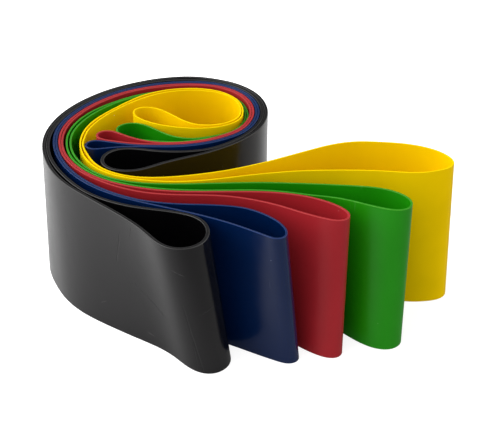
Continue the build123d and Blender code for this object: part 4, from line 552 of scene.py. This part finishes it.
def strokes(g, at, segments):
    """Mask of thin strokes on the outer wall, each (s0, h0, s1, h1, half_width) in mm."""
    total = None
    for s0, h0, s1, h1, half in segments:
        a, b = Vector((s0, h0, 0)), Vector((s1, h1, 0))
        span = b - a
        rel = g.new("ShaderNodeVectorMath", op="SUBTRACT")
        g.link(at, rel.inputs[0])
        rel.inputs[1].default_value = a
        dot = g.new("ShaderNodeVectorMath", op="DOT_PRODUCT")
        g.link(rel.outputs[0], dot.inputs[0])
        dot.inputs[1].default_value = span / max(span.length_squared, 1e-6)
        t = g.math("ADD", dot.outputs["Value"], 0.0, clamp=True)
        near = g.new("ShaderNodeVectorMath", op="SCALE")
        near.inputs[0].default_value = span
        g.link(t, near.inputs["Scale"])
        gap = g.new("ShaderNodeVectorMath", op="DISTANCE")
        g.link(rel.outputs[0], gap.inputs[0])
        g.link(near.outputs[0], gap.inputs[1])
        one = g.remap(gap.outputs["Value"], half * 0.3, half, 1, 0)
        total = one if total is None else g.math("MAXIMUM", total, one)
    return total


def rubber(name, base, edge_highlight_colour, speck_colour, rough, spec, tint, speck_scale, scuff, seed, cut_gain, grooves=(), rubs=()):
    """Satin moulded rubber: slow tone drift, fine grain, faint vertical draw lines,
    dust specks, a painted highlight along the rounded edges and a rougher cut face with streaks lightened toward
    that painted highlight colour."""
    mat = bpy.data.materials.new(name)
    g = Nodes(mat)
    out = g.new("ShaderNodeOutputMaterial")
    bsdf = g.new("ShaderNodeBsdfPrincipled")
    g.link(bsdf.outputs[0], out.inputs["Surface"])
    at = g.new("ShaderNodeAttribute", attribute_name="band_co", attribute_type="GEOMETRY").outputs["Vector"]
    edge = g.new("ShaderNodeAttribute", attribute_name="edge", attribute_type="GEOMETRY").outputs["Fac"]
    cut = g.new("ShaderNodeAttribute", attribute_name="cut", attribute_type="GEOMETRY").outputs["Fac"]

    drift = g.noise(at, 0.045, 3.0, 0.55, seed)
    cloud = g.noise(at, 0.22, 3.0, 0.6, seed + 3)
    grain = g.noise(at, 2.4, 2.0, 0.5, seed + 5)
    lines = g.noise(g.scaled(at, 1, 1, 0.035), 1.3, 2.0, 0.6, seed + 7)
    streak = g.noise(g.scaled(at, 1, 1, 0.15), 2.6, 2.0, 0.7, seed + 9)

    dark = tuple(v * 0.96 for v in base)
    pale = tuple(min(1.0, v * 1.03 + 0.0004) for v in base)
    colour = g.mix(g.remap(drift, 0.35, 0.65, 0, 1), dark, pale)
    colour = g.mix(g.remap(cloud, 0.55, 0.80, 0, 0.12), colour, tuple(min(1.0, v * 1.08 + 0.0015) for v in base))
    # painted highlight along the rounded edges, broken up along the loop
    painted_edge_highlight = g.math("MULTIPLY", edge, g.remap(streak, 0.30, 0.62, 0.75, 1.0), clamp=True)
    colour = g.mix(painted_edge_highlight, colour, edge_highlight_colour)
    # streaks across the cut face (its real striations), lightened toward the painted edge highlight colour
    face = g.math("MULTIPLY", cut, g.remap(streak, 0.35, 0.68, 0.0, cut_gain), clamp=True)
    colour = g.mix(face, colour, edge_highlight_colour)
    # scuffs: thin pale lines up the wall, gathered in patches
    patch = g.remap(g.noise(at, 0.06, 2.0, 0.5, seed + 13), 0.52, 0.70, 0, 1)
    thin = g.remap(lines, 0.70, 0.76, 0, 1)
    scuffs = g.math("MULTIPLY", g.math("MULTIPLY", thin, patch), scuff, clamp=True)
    colour = g.mix(scuffs, colour, speck_colour)
    # dust specks
    v = g.t.nodes.new("ShaderNodeTexVoronoi")
    g.link(at, v.inputs["Vector"])
    v.inputs["Scale"].default_value = speck_scale
    dots = g.remap(v.outputs["Distance"], 0.012, 0.022, 0.75, 0)
    colour = g.mix(dots, colour, speck_colour)
    on_wall = g.new("ShaderNodeAttribute", attribute_name="wall", attribute_type="GEOMETRY").outputs["Vector"] if grooves or rubs else None
    if rubs:
        rub = g.math("MULTIPLY", strokes(g, on_wall, rubs), g.remap(grain, 0.35, 0.60, 0.03, 0.14))
        colour = g.mix(rub, colour, speck_colour)
    g.link(colour, bsdf.inputs["Base Color"])

    r = g.math("ADD", g.remap(grain, 0.2, 0.8, rough - 0.02, rough + 0.03), g.remap(cloud, 0.3, 0.7, -0.015, 0.02))
    r = g.math("ADD", r, g.math("MULTIPLY", cut, 0.14))
    r = g.math("ADD", r, g.math("MULTIPLY", scuffs, 0.15), clamp=True)
    g.link(r, bsdf.inputs["Roughness"])

    def bump(height, distance, strength, before=None):
        b = g.t.nodes.new("ShaderNodeBump")
        b.inputs["Strength"].default_value = strength
        b.inputs["Distance"].default_value = distance
        g.link(height, b.inputs["Height"])
        if before is not None:
            g.link(before, b.inputs["Normal"])
        return b.outputs["Normal"]

    n1 = bump(drift, 0.0006, 0.25)
    n2 = bump(grain, 0.000016, 0.5, n1)
    n3 = bump(lines, 0.000012, 0.5, n2)
    cutline = g.math("MULTIPLY", streak, cut)
    n4 = bump(cutline, 0.00016, 0.8, n3)
    if grooves:
        n4 = bump(g.math("MULTIPLY", strokes(g, on_wall, grooves), -1.0), 0.00010, 0.8, n4)
    g.link(n4, bsdf.inputs["Normal"])
    bsdf.inputs["Specular IOR Level"].default_value = spec
    bsdf.inputs["Specular Tint"].default_value = (*tint, 1.0)
    return mat


MATERIALS = {
    "black": rubber("rubber_black", (0.0013, 0.0011, 0.0015), (0.020, 0.020, 0.0195), (0.30, 0.29, 0.28), 0.20, 0.51, (1.0, 0.98, 0.99), 0.16, 0.30, 2.0, 0.13,
                    grooves=((45.2, 43.0, 48.5, 29.5, 0.22), (38.5, 47.5, 39.7, 44.0, 0.22), (41.2, 24.5, 28.3, 17.5, 0.20),
                             (16.9, 27.0, 15.6, 17.0, 0.22), (15.6, 17.0, 13.2, 1.0, 0.28), (16.3, 24.0, 14.9, 3.0, 0.16),
                             (11.7, 24.0, 6.9, 26.0, 0.18), (70.0, 20.0, 74.5, 33.0, 0.15)),
                    rubs=((37.9, 5.0, 35.5, 4.6, 0.30), (47.0, 39.5, 47.0, 39.2, 0.24), (5.1, 48.4, 5.1, 48.2, 0.24),
                          (18.7, 41.0, 15.1, 39.5, 0.16), (65.0, 23.5, 65.0, 23.3, 0.20), (58.0, 9.0, 55.5, 10.5, 0.14))),
    "blue": rubber("rubber_blue", (0.0001, 0.0108, 0.058), (0.010, 0.045, 0.190), (0.25, 0.32, 0.50), 0.17, 0.48, (1.0, 0.98, 1.0), 0.13, 0.16, 12.0, 0.30),
    "red": rubber("rubber_red", (0.352, 0.0155, 0.0215), (0.480, 0.050, 0.050), (0.75, 0.40, 0.38), 0.30, 0.29, (1.0, 0.85, 0.85), 0.10, 0.10, 22.0, 0.30),
    "green": rubber("rubber_green", (0.0085, 0.234, 0.0008), (0.065, 0.340, 0.018), (0.50, 0.75, 0.40), 0.30, 0.40, (0.90, 1.0, 0.8), 0.09, 0.10, 32.0, 0.30),
    "yellow": rubber("rubber_yellow", (0.880, 0.580, 0.0002), (0.900, 0.680, 0.002), (0.95, 0.85, 0.40), 0.36, 0.05, (1.0, 0.85, 0.10), 0.07, 0.06, 42.0, 0.30),
}

for name in BANDS:
    piece = make_band(name)
    piece.data.materials.append(MATERIALS[name])
    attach(piece, name)
    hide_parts(f"band_{name}")

# --------------------------------------------------------------------- stage

LIGHT = {
    # how bright the soft studio light is from each side: (direction, gain, sharpness)
    "top": ((0, 0, 1), 0.18, 1.0),
    "left": ((-1, 0, 0), 2.1, 2.0),
    "right": ((1, 0, 0), 2.4, 2.0),
    "front": ((0, -1, 0), 0.0, 2.0),
    "back": ((0, 1, 0), 0.0, 2.0),
    "front_left": ((-1, -1, 0), 0.0, 3.0),
    "front_right": ((1, -1, 0), 0.0, 3.0),
    "back_left": ((-1, 1, 0), 0.0, 3.0),
    "back_right": ((1, 1, 0), 0.0, 3.0),
    "top_left": ((-1, 0, 1), 3.2, 4.0),
    "top_right": ((1, 0, 1), 0.0, 4.0),
    "top_front": ((0, -1, 1), 1.0, 4.0),
    "top_back": ((0, 1, 1), 0.0, 4.0),
}
EVEN, FLOOR = 0.0, 0.80

floor_mesh = bpy.data.meshes.new("floor")
R = 12.0
floor_mesh.from_pydata([(-R, -R, 0), (R, -R, 0), (R, R, 0), (-R, R, 0)], [], [(0, 1, 2, 3)])
floor = bpy.data.objects.new("floor", floor_mesh)
floor.location = (0, 0, -0.00006)
bpy.context.scene.collection.objects.link(floor)
fmat = bpy.data.materials.new("floor_white")
f = Nodes(fmat)
f_out = f.new("ShaderNodeOutputMaterial")
f_bsdf = f.new("ShaderNodeBsdfPrincipled")
f_at = f.new("ShaderNodeTexCoord").outputs["Object"]
f_dot = f.new("ShaderNodeVectorMath", op="DOT_PRODUCT")
f.link(f_at, f_dot.inputs[0])
f_dot.inputs[1].default_value = (-0.8, 0.6, 0)
# painted shade: the pale sheet's colour is greyer in front and to the right, standing in for the light falling off
# there
f.link(f.mix(f.remap(f_dot.outputs["Value"], -0.12, 0.12, 0, 1), (0.27, 0.27, 0.27), (0.82, 0.82, 0.82)), f_bsdf.inputs["Base Color"])
f_bsdf.inputs["Roughness"].default_value = 0.9
f_bsdf.inputs["Specular IOR Level"].default_value = 0.1
f_bsdf.inputs["Emission Color"].default_value = (1, 1, 1, 1)
f.link(f.math("MULTIPLY", f.new("ShaderNodeLightPath").outputs["Is Camera Ray"], FLOOR), f_bsdf.inputs["Emission Strength"])
f.link(f_bsdf.outputs[0], f_out.inputs["Surface"])
floor_mesh.materials.append(fmat)

world = bpy.data.worlds.new("studio")
bpy.context.scene.world = world
world.use_nodes = True
w = Nodes(world)
w_out = w.new("ShaderNodeOutputWorld")
w_seen = w.new("ShaderNodeBackground")
w_seen.inputs["Color"].default_value = (1, 1, 1, 1)
w_lit = w.new("ShaderNodeBackground")
w_mix = w.new("ShaderNodeMixShader")
w_ray = w.new("ShaderNodeLightPath")
w.link(w_ray.outputs["Is Camera Ray"], w_mix.inputs[0])
w.link(w_lit.outputs[0], w_mix.inputs[1])
w.link(w_seen.outputs[0], w_mix.inputs[2])
w.link(w_mix.outputs[0], w_out.inputs["Surface"])
way = w.new("ShaderNodeTexCoord").outputs["Generated"]


def lobe(direction, gain, power):
    d = w.new("ShaderNodeVectorMath", op="DOT_PRODUCT")
    w.link(way, d.inputs[0])
    d.inputs[1].default_value = Vector(direction).normalized()
    up = w.math("MAXIMUM", d.outputs["Value"], 0.0)
    return w.math("MULTIPLY", w.math("POWER", up, power), gain)


total = EVEN
for direction, gain, sharp in LIGHT.values():
    if gain > 0:
        total = w.math("ADD", lobe(direction, gain, sharp), total)
w.link(total, w_lit.inputs["Strength"])

# ---------------------------------------------------------------- camera

cam_data = bpy.data.cameras.new("camera")
cam_data.sensor_width = 36.0
cam_data.lens = 116.007
cam_data.clip_start, cam_data.clip_end = 0.01, 50.0
cam = bpy.data.objects.new("camera", cam_data)
bpy.context.scene.collection.objects.link(cam)
slope, roll = math.radians(31.2), math.radians(0.7)
right, up = Vector((1, 0, 0)), Vector((0, math.sin(slope), math.cos(slope)))
look = Vector((0, math.cos(slope), -math.sin(slope)))
side = math.cos(roll) * right + math.sin(roll) * up
upright = -math.sin(roll) * right + math.cos(roll) * up
place = Vector((-2.038, -37.898, 50.0)) * MM - look * 0.50997
cam.matrix_world = Matrix((
    (side.x, upright.x, -look.x, place.x),
    (side.y, upright.y, -look.y, place.y),
    (side.z, upright.z, -look.z, place.z),
    (0, 0, 0, 1),
))
bpy.context.scene.camera = cam
bpy.context.scene.view_settings.view_transform = "Standard"
bpy.context.scene.view_settings.look = "None"
